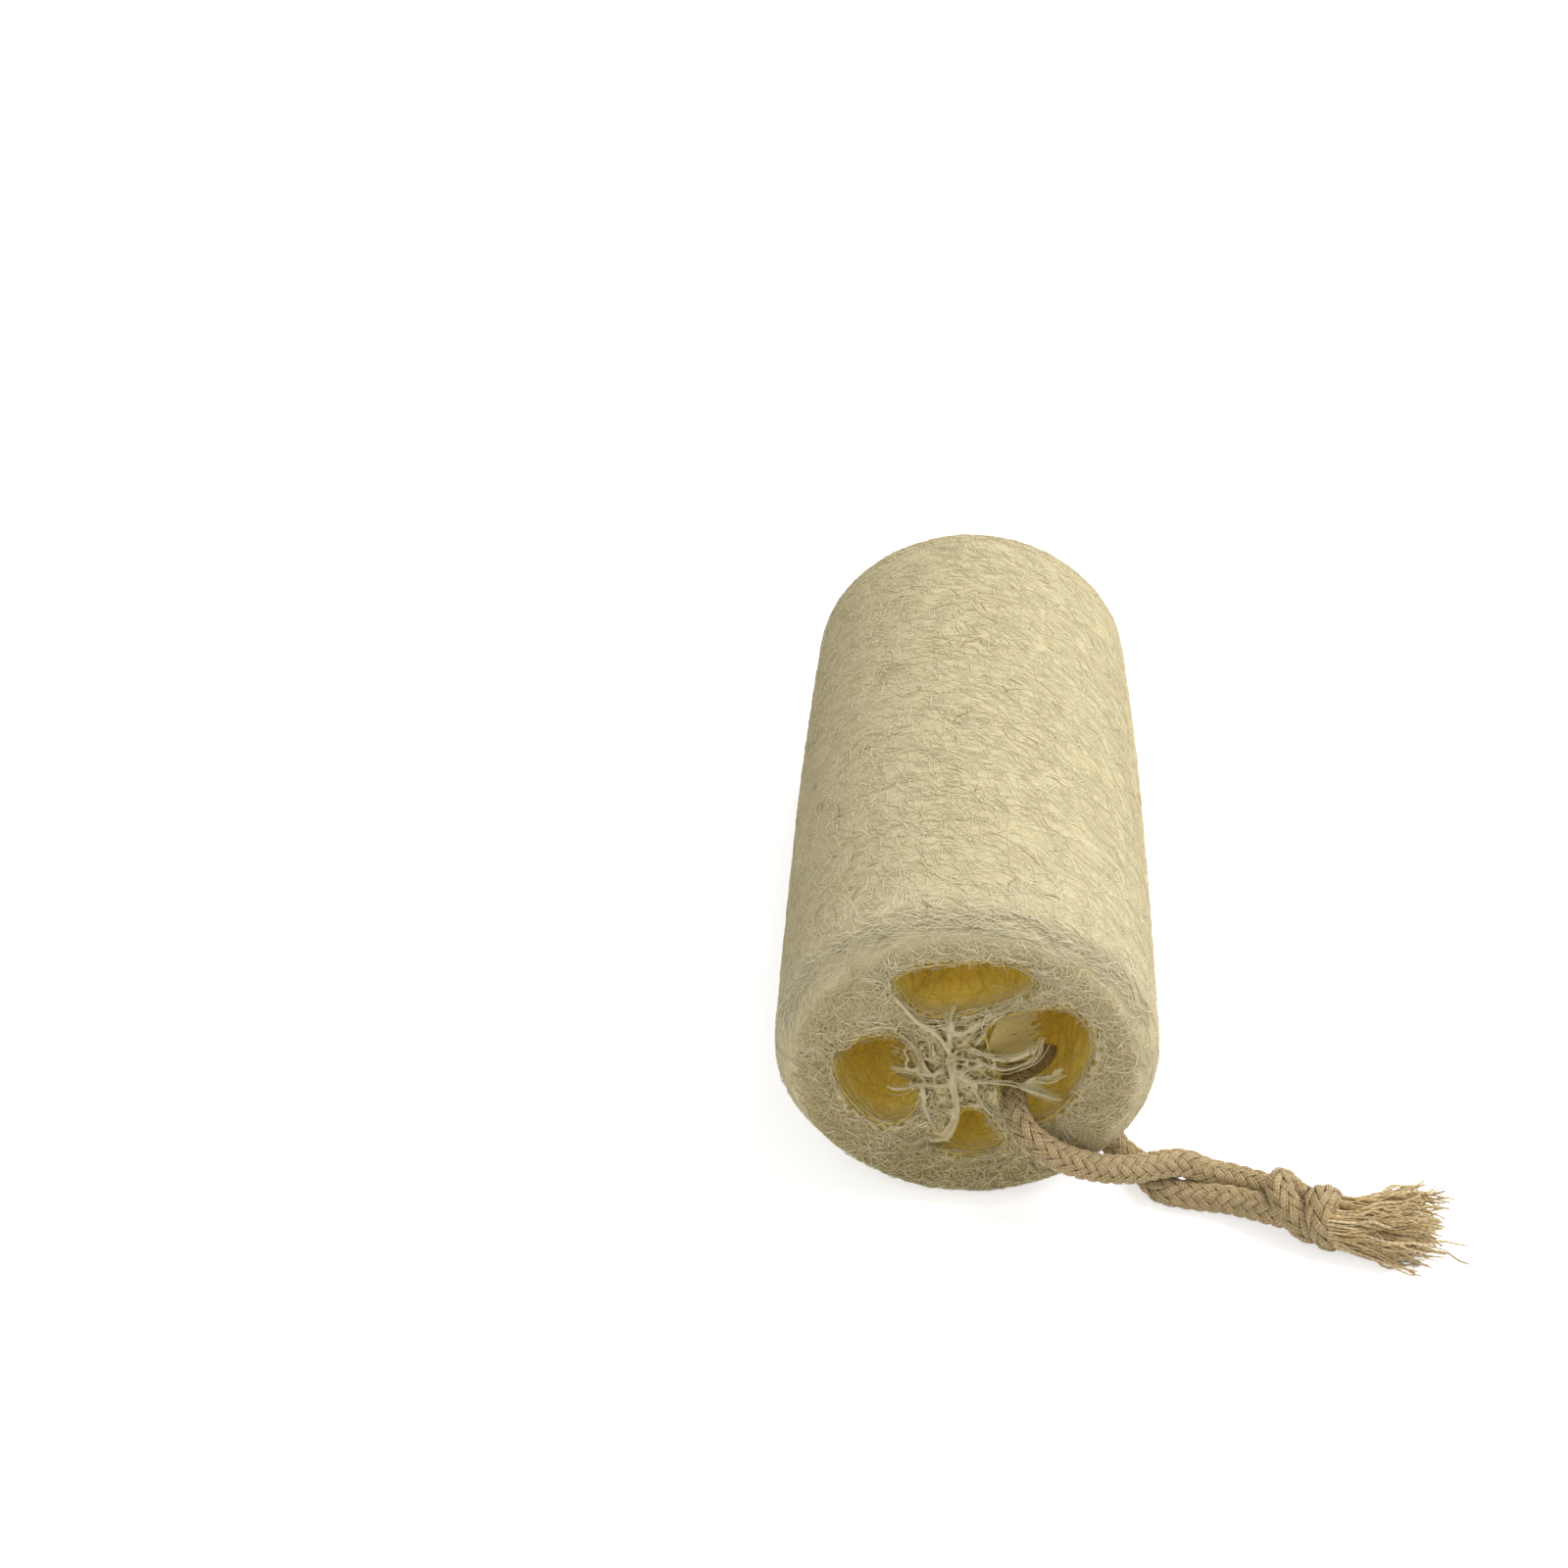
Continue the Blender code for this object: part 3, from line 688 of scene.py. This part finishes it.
def outlineAt(outline, share):  # point and inward normal at a share of the way round
    n = len(outline)
    f = np.mod(share, 1) * n
    i = np.floor(f).astype(int) % n
    j = (i + 1) % n
    t = (f - np.floor(f))[..., None]
    p = outline[i] * (1 - t) + outline[j] * t
    inward = quarterTurn(unit(outline[j] - outline[i]))
    flip = np.sign(((outline.mean(axis=0) - p) * inward).sum(-1, keepdims=True))
    return p, inward * np.where(flip == 0, 1, flip)


def chamberFibres(outline, around, plane, into):  # fibres that run along a chamber
    n, m = lining["count"], lining["points"]
    arch = hump(m)[None]
    share = between(0, 1, n)
    start = between(0, 1, n)**1.4 * lining["reach"]
    s = np.linspace(0, 1, m)[None] * between(*lining["length"], n)
    lean = about(0, lining["lean"], n) + (between(0, 1, n) < lining["crossing"]) * lining["crossTurn"]
    wave = .0005 * waves(s, *lining["pitch"], n)
    ys = plane + into * np.clip(start + np.cos(lean) * s, *lining["span"])
    p, inward = outlineAt(outline, share + (np.sin(lean) * s + wave) / around)
    p = p + inward * (between(-.0001, .0005, n) * arch)[..., None]
    radii = between(*lining["thick"], n) * (.5 + .5 * arch)
    return withY(p, ys), radii, withY(inward, 0 * ys), np.clip(rng.normal(.4, .25, n), 0, 1)


def mouthRope(outline, around, plane, into):  # fibres round the edge of a mouth
    n, m = lining["ropeFibres"], lining["points"]
    s = np.linspace(0, 1, m)[None] * between(*lining["ropeLength"], n)
    p, inward = outlineAt(outline, between(0, 1, n) + s / around)
    off = about(.0001, .00035, n) + .0002 * np.sin(s * 900 + between(0, 6, n))
    p = p + inward * off[..., None]
    ys = plane + into * (between(-.0006, .0012, n) + .0002 * np.cos(s * 700))
    radii = between(*lining["ropeThick"], n) * (.5 + .5 * hump(m)[None])
    outward = np.broadcast_to((0.0, -into, 0.0), (n, m, 3))
    return withY(p, ys), radii, outward, np.clip(rng.normal(.6, .2, n), 0, 1)


def mouthTeeth(outline, plane, into):  # stubs where the edge hangs over the mouth
    most, m = lining["teeth"], lining["points"]
    p, inward = outlineAt(outline, rng.uniform(0, 1, most * 3))
    hang = inward[:, 1] < lining["overhang"]
    p, inward = p[hang][:most, None], inward[hang][:most, None]
    n = len(p)
    reach = np.linspace(-.0006, 1, m)[None] * between(*lining["toothLength"], n)
    slip = about(0, .35, n) * reach
    p = p + inward * reach[..., None] + quarterTurn(inward) * slip[..., None]
    ys = plane + into * (between(-.0003, .0015, n) + .3 * reach)
    radii = between(*lining["toothThick"], n) * np.linspace(1, .5, m)[None]
    outward = np.broadcast_to((0.0, -into, 0.0), (n, m, 3))
    return withY(p, ys), radii, outward, np.clip(rng.normal(.45, .2, n), 0, 1)


def makeLinings():
    inside, mouths = [], []
    for outline in outlines.values():
        around = steps(outline).sum()
        for plane, into in ((frontY, 1), (backY, -1)):
            inside.append(chamberFibres(outline, around, plane, into))
            mouths.append(mouthRope(outline, around, plane, into))
            mouths.append(mouthTeeth(outline, plane, into))
    for label, fibres, material in (("chamberLining", inside, liningFibre), ("mouthRopes", mouths, coreFibre)):
        paths, radii, ups, tint = (np.concatenate(part) for part in zip(*fibres))
        obj = tubePiece(label, paths, radii, ups, 3, tint, material)
        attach(obj, "sponge")
        print(label + ":", len(paths), "fibres")


makeLinings()

# the core's web on the cut end: fused struts, a net and torn skins, with loose fibres along the struts
coreWeb = {
    "struts": [  # across and height, then width
        ([(-.0185, .0356), (-.0150, .0373), (-.0115, .0371), (-.0088, .0338), (-.0067, .0293), (-.0050, .0268)],
         .0010),
        ([(-.0123, .0437), (-.0086, .0394), (-.0047, .0359), (-.0027, .0319)], .0012),
        ([(-.0024, .0423), (-.0030, .0387), (-.0027, .0319)], .0009),
        ([(.0014, .0374), (.0044, .0408), (.0096, .0427), (.0144, .0435)], .0009),
        ([(-.0029, .0305), (.0000, .0271), (.0044, .0269), (.0090, .0263), (.0131, .0244), (.0168, .0233)],
         .0011),
        ([(-.0023, .0319), (.0028, .0310), (.0063, .0295), (.0098, .0308), (.0118, .0326), (.0128, .0366)],
         .0007),
        ([(-.0003, .0337), (.0029, .0326), (.0072, .0320), (.0116, .0343)], .0007),
        ([(-.0026, .0315), (-.0021, .0253), (-.0014, .0195), (-.0028, .0147), (-.0054, .0141)], .0014),
        ([(.0011, .0267), (.0029, .0226), (.0057, .0190)], .0009),
        ([(-.0029, .0286), (-.0066, .0276), (-.0105, .0287), (-.0127, .0281)], .0009),
        ([(-.0031, .0257), (-.0074, .0259), (-.0107, .0245), (-.0127, .0248)], .0009),
        ([(-.0074, .0255), (-.0066, .0209), (-.0046, .0150)], .0009),
        ([(.0100, .0263), (.0116, .0281), (.0142, .0282), (.0161, .0299)], .0007),
        ([(-.0045, .0376), (-.0004, .0367), (.0020, .0387)], .0009),
        ([(-.0017, .0282), (.0007, .0296), (.0029, .0310)], .0009),
        ([(-.0078, .0166), (-.0054, .0139), (-.0018, .0145)], .0007),
        ([(-.0108, .0147), (-.0088, .0131), (-.0065, .0145), (-.0060, .0120), (-.0087, .0105)], .0006),
    ],
    "sheets": [  # torn skins across a mouth, as ribs: from, to, depth from and to, ribs, raggedness
        ([(.0022, .0288), (.0050, .0402)], [(.0128, .0288), (.0126, .0412)], (.0008, .0046), 26, .10),
        ([(-.0068, .0236), (-.0080, .0334)], [(-.0126, .0246), (-.0140, .0318)], (.0004, .0036), 18, .40),
        ([(.0090, .0258), (.0100, .0266)], [(.0166, .0234), (.0160, .0296)], (.0000, .0012), 8, .35),
        ([(-.0020, .0200), (-.0030, .0145)], [(-.0046, .0205), (-.0056, .0146)], (.0000, .0008), 8, .35),
    ],
    "spacing": .0004, "tubePoints": 10, "tubeSides": 8, "cords": 6, "ribThick": (.00022, .00034),
    "nodes": 280, "netThick": (.00013, .00026), "netDepth": (-.0002, .0007), "netSpread": 1.12,
    "voxel": .00022, "grain": .0005, "relief": .00022, "shadeDepth": (-.0006, .0009),
    "perStrut": 9, "points": 8, "thick": (.00006, .00013),
}


def webTubes(plane, out):  # struts, net and ribs as short tubes
    m, paths, radii = coreWeb["tubePoints"], [], []
    t = np.linspace(0, 1, m)
    ends = np.abs(2 * t - 1)  # 1 at both ends of a tube, 0 in its middle

    def add(flat, depth, thick):
        paths.append(withY(flat, plane - out * depth))
        radii.append(thick)

    for route, width in coreWeb["struts"]:
        line = curveThrough(route, coreWeb["spacing"])
        flat = interpolate(t * (len(line) - 1), np.arange(len(line)), line)
        for _ in range(coreWeb["cords"]):  # some thin cords to a strut, so that it fuses unevenly
            off = rng.normal(0, .30, 2) * width * (1 + .8 * ends**3)[:, None]
            off = off + .00012 * np.sin(7 * t + rng.uniform(0, 6))[:, None]
            off = flat + off + rng.normal(0, .00008, (m, 2))
            depth = rng.normal(-.0002, .0002) + .0002 * np.sin(5 * t + rng.uniform(0, 6))
            sink = .0007 * ends**4  # both ends sink into what they hold on to
            add(off, depth + sink, width * (.13 + .14 * ends**3) * (1 - .6 * ends**12) * rng.uniform(.8, 1.2))
    middle = hollowRing.mean(axis=0)
    wide = middle + (hollowRing - middle) * coreWeb["netSpread"]
    nodes = rng.uniform(wide.min(axis=0), wide.max(axis=0), (coreWeb["nodes"] * 3, 2))
    nodes = nodes[insideOutline(wide, nodes[:, 0], nodes[:, 1])][:coreWeb["nodes"]]
    for i, node in enumerate(nodes):
        gaps = np.linalg.norm(nodes - node, axis=1)
        for j in np.argsort(gaps)[1:4]:  # to the nearest three
            if j > i or rng.uniform() < .3:
                bow = rng.normal(0, .12) * gaps[j] * np.sin(math.pi * t)
                way = nodes[j] - node
                flat = node + way * t[:, None] + quarterTurn(way) / max(gaps[j], 1e-6) * bow[:, None]
                depth = rng.uniform(*coreWeb["netDepth"]) + 0 * t
                add(flat, depth, rng.uniform(*coreWeb["netThick"]) * (.8 + .5 * ends**2))
    for (a0, a1), (b0, b1), (near, far), ribs, ragged in coreWeb["sheets"]:
        for k in np.linspace(0, 1, ribs):
            a = np.array(a0) + (np.array(a1) - a0) * k
            b = np.array(b0) + (np.array(b1) - b0) * k
            reach = 1 - rng.uniform(0, ragged)
            sway = .0004 * np.sin(4 * t + 5 * k) + rng.normal(0, .00006, m)
            flat = a + (b - a) * (t * reach)[:, None] + np.stack([0 * t, sway], axis=-1)
            depth = near + (far - near) * t**1.2 + rng.normal(0, .00012)
            add(flat, depth, rng.uniform(*coreWeb["ribThick"]) * (1 - .35 * t))
    return np.array(paths), np.array(radii)


def makeCoreWeb():
    for label, plane, out in (("front", frontY, -1), ("back", backY, 1)):
        paths, radii = webTubes(plane, out)
        obj = tubePiece("coreWeb_" + label, paths, radii, (.1, 1, .2), coreWeb["tubeSides"],
                        np.zeros(len(paths)), webSkin)
        addModifier(obj, "fuse", "REMESH", mode="VOXEL", voxel_size=coreWeb["voxel"])
        addModifier(obj, "soften", "SMOOTH", iterations=2)
        addClouds(obj, "webGrain", coreWeb["grain"], coreWeb["relief"], .5)
        applyModifiers(obj)
        depth = (plane - readPoints(obj.data)[:, 1]) * out
        for old in [a for a in obj.data.attributes if a.name in ("tint", "lay")]:
            obj.data.attributes.remove(old)
        writeAttribute(obj.data, "tint", 1 - .85 * smoothStep(*coreWeb["shadeDepth"], depth))
        obj.data.shade_smooth()
        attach(obj, "sponge")
        print("core web", label + ":", len(obj.data.polygons), "faces")


def makeWebFibres():
    m = coreWeb["points"]
    paths, radii, tint = [], [], []
    for plane, out in ((frontY, -1), (backY, 1)):
        for route, width in coreWeb["struts"]:
            line = curveThrough(route, coreWeb["spacing"])
            for _ in range(coreWeb["perStrut"]):
                a, b = sorted(rng.uniform(-.08, 1.08, 2))
                if b - a < .3:
                    a, b = max(a - .2, 0), min(b + .2, 1)
                share = np.linspace(a, b, m)
                at = np.clip(share, 0, 1) * (len(line) - 1)
                p = interpolate(at, np.arange(len(line)), line)
                flare = 1 + 1.2 * np.abs(2 * share - 1)**3
                off = rng.normal(0, .34) * width * flare + .0002 * np.sin(at * .25 + rng.uniform(0, 6))
                p = p + quarterTurn(unit(np.gradient(p, axis=0))) * off[:, None]
                depth = rng.normal(-.0001, .0004) + .0003 * np.sin(np.linspace(0, 3, m) + rng.uniform(0, 6))
                paths.append(withY(p, plane - out * depth))
                radii.append(rng.uniform(*coreWeb["thick"]) * (.6 + .4 * hump(m)))
                tint.append(np.clip(rng.normal(.7, .2), 0, 1))
    obj = tubePiece("webFibres", np.array(paths), np.array(radii), (0, 1, 0), 4, np.array(tint), coreFibre)
    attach(obj, "sponge")
    print("web fibres:", len(paths))


makeWebFibres()
makeCoreWeb()

# the cord's two strands: routes across, ahead of the cut end and height
cord = {"thick": .005, "mid": .00208, "weave": .00027, "yarn": .00026, "yarnGap": .00039, "sides": 4,
        "carriers": 8, "yarns": 3, "pitch": .0195, "step": .0006, "tuck": .0050, "bend": .005}
crossing = (.0345, -.0030)
upper, lower = (*crossing, .00795), (*crossing, .00265)
chamberRoute = [(.0200, -.0190, .0148), (.0152, -.0184, .0180), (.0110, -.0148, .0200), (.0087, -.0092, .0205),
                (.0083, -.0026, .0205), (.0099, .0027, .0191), (.0132, .0047, .0170), (.0175, .0045, .0143),
                (.0230, .0027, .0113), (.0290, .0002, .0092), upper, (.0384, -.0042, .0073),
                (.0428, -.0044, .0053), (.0474, -.0037, .0048)]
outerRoute = [(.0200, -.0190, .0148), (.0248, -.0178, .0112), (.0264, -.0126, .0051), (.0309, -.0083, .0032),
              lower, (.0375, -.0017, .0028), (.0418, -.0008, .0029), (.0468, .0010, .0038)]
knot = {"middle": (.0592, .0052, .00575), "turn": math.radians(-28), "length": .0132, "offset": .0027,
        "wraps": ((-.0027, .0034, -.20), (.0030, .0014, .05)),  # middle, slant and start of each
        "turns": 1.34, "radius": .0031, "squeeze": .94}


def ahead(points):  # a route in the scene's coordinates
    return np.array([(x, frontY - f, z) for x, f, z in points])


knotAxis = np.array([math.cos(knot["turn"]), math.sin(knot["turn"]), 0])
knotSide = np.array([-math.sin(knot["turn"]), math.cos(knot["turn"]), 0])
knotMiddle = ahead([knot["middle"]])[0]


def braidYarns(line, squeeze=1.0):  # herringbone braid: two sets of carriers wind opposite ways, two over two
    along = distances(line)
    tangent, side, up = lineFrames(line)
    paths, ups, tint = [], [], []
    n = cord["carriers"]
    beat = 2 * n * along / cord["pitch"]
    for way in (1, -1):
        for c in range(n):
            over = way * np.cos(math.pi / 2 * (2 * c + way * beat - .5))
            turn = way * 2 * math.pi * along / cord["pitch"] + 2 * math.pi * c / n
            for y in range(cord["yarns"]):
                shift = (y - (cord["yarns"] - 1) / 2) * cord["yarnGap"]
                radius = (cord["mid"] + cord["weave"] * over - abs(shift) * .12) * squeeze
                a = turn + shift / cord["mid"] * way * .78
                out = np.cos(a)[:, None] * side + np.sin(a)[:, None] * up
                paths.append(line + out * radius[:, None] + tangent * (-shift * .62))
                ups.append(out)
                tint.append(np.clip(rng.normal(.52, .12) + .36 * over, 0, 1))  # painted shade: darker where a yarn dives under its neighbours
    return np.array(paths), np.array(ups), np.array(tint)


def makeStrand(name, route, sign, nodes, bendAt):
    door = knotMiddle + knotSide * sign * knot["offset"] - knotAxis * (knot["length"] / 2 + .0003)
    line = curveThrough(np.vstack([ahead(route), door + knotAxis * cord["tuck"]]), cord["step"])
    paths, ups, tint = braidYarns(line)
    obj = tubePiece(name, paths, cord["yarn"], ups, cord["sides"], tint, cordCotton)
    pivot = ahead([bendAt])[0]
    at = np.argmin(np.linalg.norm(line - pivot, axis=1))
    bend = unit(line[at + 3] - line[at - 3]) * (1, 1, 0) * cord["bend"]
    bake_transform(obj, "sponge", "loop", start=tuple(pivot - bend), end=tuple(pivot + bend))
    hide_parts(*nodes)
    length = float(steps(line).sum())
    print(name, "length %.1f mm" % (length * 1000))
    return obj, line, length


chamberCord, chamberLine, chamberLength = makeStrand("chamberCord", chamberRoute, 1,
                                                     ["cord_through_wall", "chamber_strand"], upper)
outerCord, outerLine, outerLength = makeStrand("outerCord", outerRoute, -1, ["outer_strand"], lower)


def knotPlace(local):  # along, beside and above the knot's middle, to the scene
    return (knotMiddle + local[..., 0:1] * knotAxis + local[..., 1:2] * knotSide
            + local[..., 2:3] * np.array([0, 0, 1.0]))


def makeKnot():  # the cord winds round itself in two slanted wraps, side by side, and its ends tuck in
    wraps = []
    t = np.linspace(0, 1, 60)
    for middle, slant, start in knot["wraps"]:
        angle = 2 * math.pi * (knot["turns"] * t + start)
        radius = knot["radius"] * (1 - .6 * (1 - smoothStep(0, .12, t)) - .6 * smoothStep(.88, 1, t))
        x = middle + .0012 * (t - .5) - slant * np.cos(angle - 1.15)
        local = np.stack([x, radius * np.cos(angle), radius * np.sin(angle)], axis=-1)
        wraps.append(braidYarns(curveThrough(knotPlace(local)[::4], cord["step"]), knot["squeeze"]))
    shortest = min(paths.shape[1] for paths, _, _ in wraps)
    paths, ups, tint = (np.concatenate([part[:, :shortest] for part in parts]) for parts in zip(*wraps))
    obj = tubePiece("overhandKnot", paths, cord["yarn"], ups, cord["sides"], tint, cordCotton)
    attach(obj, "loop")
    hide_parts("overhand_knot")
    print("knot tied")
    return obj


overhandKnot = makeKnot()

# the two frayed ends, whose yarns hang together in wavy locks
fray = {"yarns": 210, "points": 14, "sides": 5, "length": (.0150, .0202), "thick": (.00014, .00027),
        "locks": 14, "lean": math.radians(35), "fan": .15, "rise": .13, "root": .0025, "apart": .0022,
        "inKnot": .0048, "wave": (.00020, .00075), "pitch": (9, 22), "whiskers": .03}


def makeTassel():
    made = []
    n, m = fray["yarns"], fray["points"]
    t = np.linspace(0, 1, m)[None]
    for label, sign in (("back", 1), ("front", -1)):
        lock = rng.integers(0, fray["locks"], n)
        a, r = rng.uniform(0, 2 * math.pi, n), np.sqrt(rng.uniform(0, 1, n)) * fray["root"]
        lockTurn, lockRise = rng.normal(0, 1, (2, fray["locks"]))
        fan = (fray["lean"] + sign * .10 + (lockTurn[lock] + rng.normal(0, .35, n)) * fray["fan"]
               + np.cos(a) * .12)
        rise = -.02 + (lockRise[lock] + rng.normal(0, .35, n)) * fray["rise"] + np.sin(a) * .12
        length = (rng.uniform(*fray["length"], fray["locks"])[lock] * rng.uniform(.82, 1.08, n))[:, None]
        bend = fan[:, None] * smoothStep(-.1, .45, t) + .34 * np.sin(10 * t + lock[:, None] * 1.7) * t
        stray = between(0, 1, n) < fray["whiskers"]  # these curl away
        bend = bend + stray * sign * (.7 * t - 1.1 * t**3)
        step = length * (1 + .2 * stray) / (m - 1)
        x = np.cumsum(np.cos(bend), axis=1) * step + knot["length"] / 2 - fray["inKnot"]
        side = (sign * fray["apart"] + (r * np.cos(a))[:, None] * (1 + .2 * t)
                + np.cumsum(np.sin(bend), axis=1) * step)
        up = (r * np.sin(a))[:, None] * 1.25 + length * rise[:, None] * t**1.4 - .0016 * t**2
        wave = between(*fray["wave"], n) * waves(t, *fray["pitch"], n)
        paths = knotPlace(np.stack([x, side + wave * t, up + wave[:, ::-1] * t], axis=-1))
        paths[..., 2] = np.maximum(paths[..., 2], floorGap)
        radii = between(*fray["thick"], n) * (1 - .45 * t**3)
        tint = np.clip(rng.normal(.55, .25, n), 0, 1)
        obj = tubePiece("frayedEnd_" + label, paths, radii, (0, 0, 1), fray["sides"], tint, tasselCotton)
        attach(obj, "loop")
        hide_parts("frayed_end_" + label)
        made.append(obj)
    print("tassel combed")
    return made


frayedEnds = makeTassel()

# camera, floor and light
view = {"place": (-.007365, -.448127, .318239), "heading": (-.0527, .8463, -.5302), "lens": 64.1, "sensor": 36,
        "nearest": .01}
studio = {"floor": 3.0, "floorColour": (.9, .9, .9), "glow": .56, "sky": .43, "aim": (0, -.02, .03),
          "lamps": (("key", (.40, .12, .66), .7, 7.5),  # name, place, size and power
                    ("fill", (-.18, -.65, .45), .6, 1.6))}


def makeCamera():
    data = bpy.data.cameras.new("camera")
    data.lens, data.sensor_width, data.clip_start = view["lens"], view["sensor"], view["nearest"]
    camera = bpy.data.objects.new("camera", data)
    camera.location = view["place"]
    camera.rotation_euler = Vector(view["heading"]).to_track_quat("-Z", "Y").to_euler()
    bpy.context.scene.collection.objects.link(camera)
    bpy.context.scene.camera = camera


def makeFloor():
    deselectAll()
    bpy.ops.mesh.primitive_plane_add(size=studio["floor"])
    floor = bpy.context.object
    floor.name = "floor"
    material, tree, shader = newMaterial("paleFloor")
    seen = addNode(tree, "ShaderNodeLightPath").outputs["Is Camera Ray"]
    setInputs(tree, shader, {
        "Base Color": studio["floorColour"], "Roughness": 1, "Specular IOR Level": 0,
        "Emission Color": (1, 1, 1), "Emission Strength": addMath(tree, "MULTIPLY", seen, studio["glow"])})
    floor.data.materials.append(material)


def makeLight():
    world = bpy.data.worlds.new("studio")
    bpy.context.scene.world = world
    world.use_nodes = True
    tree = world.node_tree
    rays = addNode(tree, "ShaderNodeLightPath").outputs
    strength = addNode(tree, "ShaderNodeMapRange")
    setInputs(tree, strength, {
        "Value": addMath(tree, "MAXIMUM", rays["Is Camera Ray"], rays["Is Glossy Ray"]),
        "To Min": studio["sky"], "To Max": 1.0})
    setInputs(tree, tree.nodes["Background"], {"Color": (1, 1, 1), "Strength": strength.outputs["Result"]})
    for name, place, size, power in studio["lamps"]:
        data = bpy.data.lights.new(name, "AREA")
        data.energy, data.size = power, size
        lamp = bpy.data.objects.new(name, data)
        lamp.location = place
        lamp.rotation_euler = (Vector(studio["aim"]) - Vector(place)).to_track_quat("-Z", "Y").to_euler()
        bpy.context.scene.collection.objects.link(lamp)


makeCamera()
makeFloor()
makeLight()
bpy.context.scene.view_settings.view_transform = "Standard"
print("stage set")
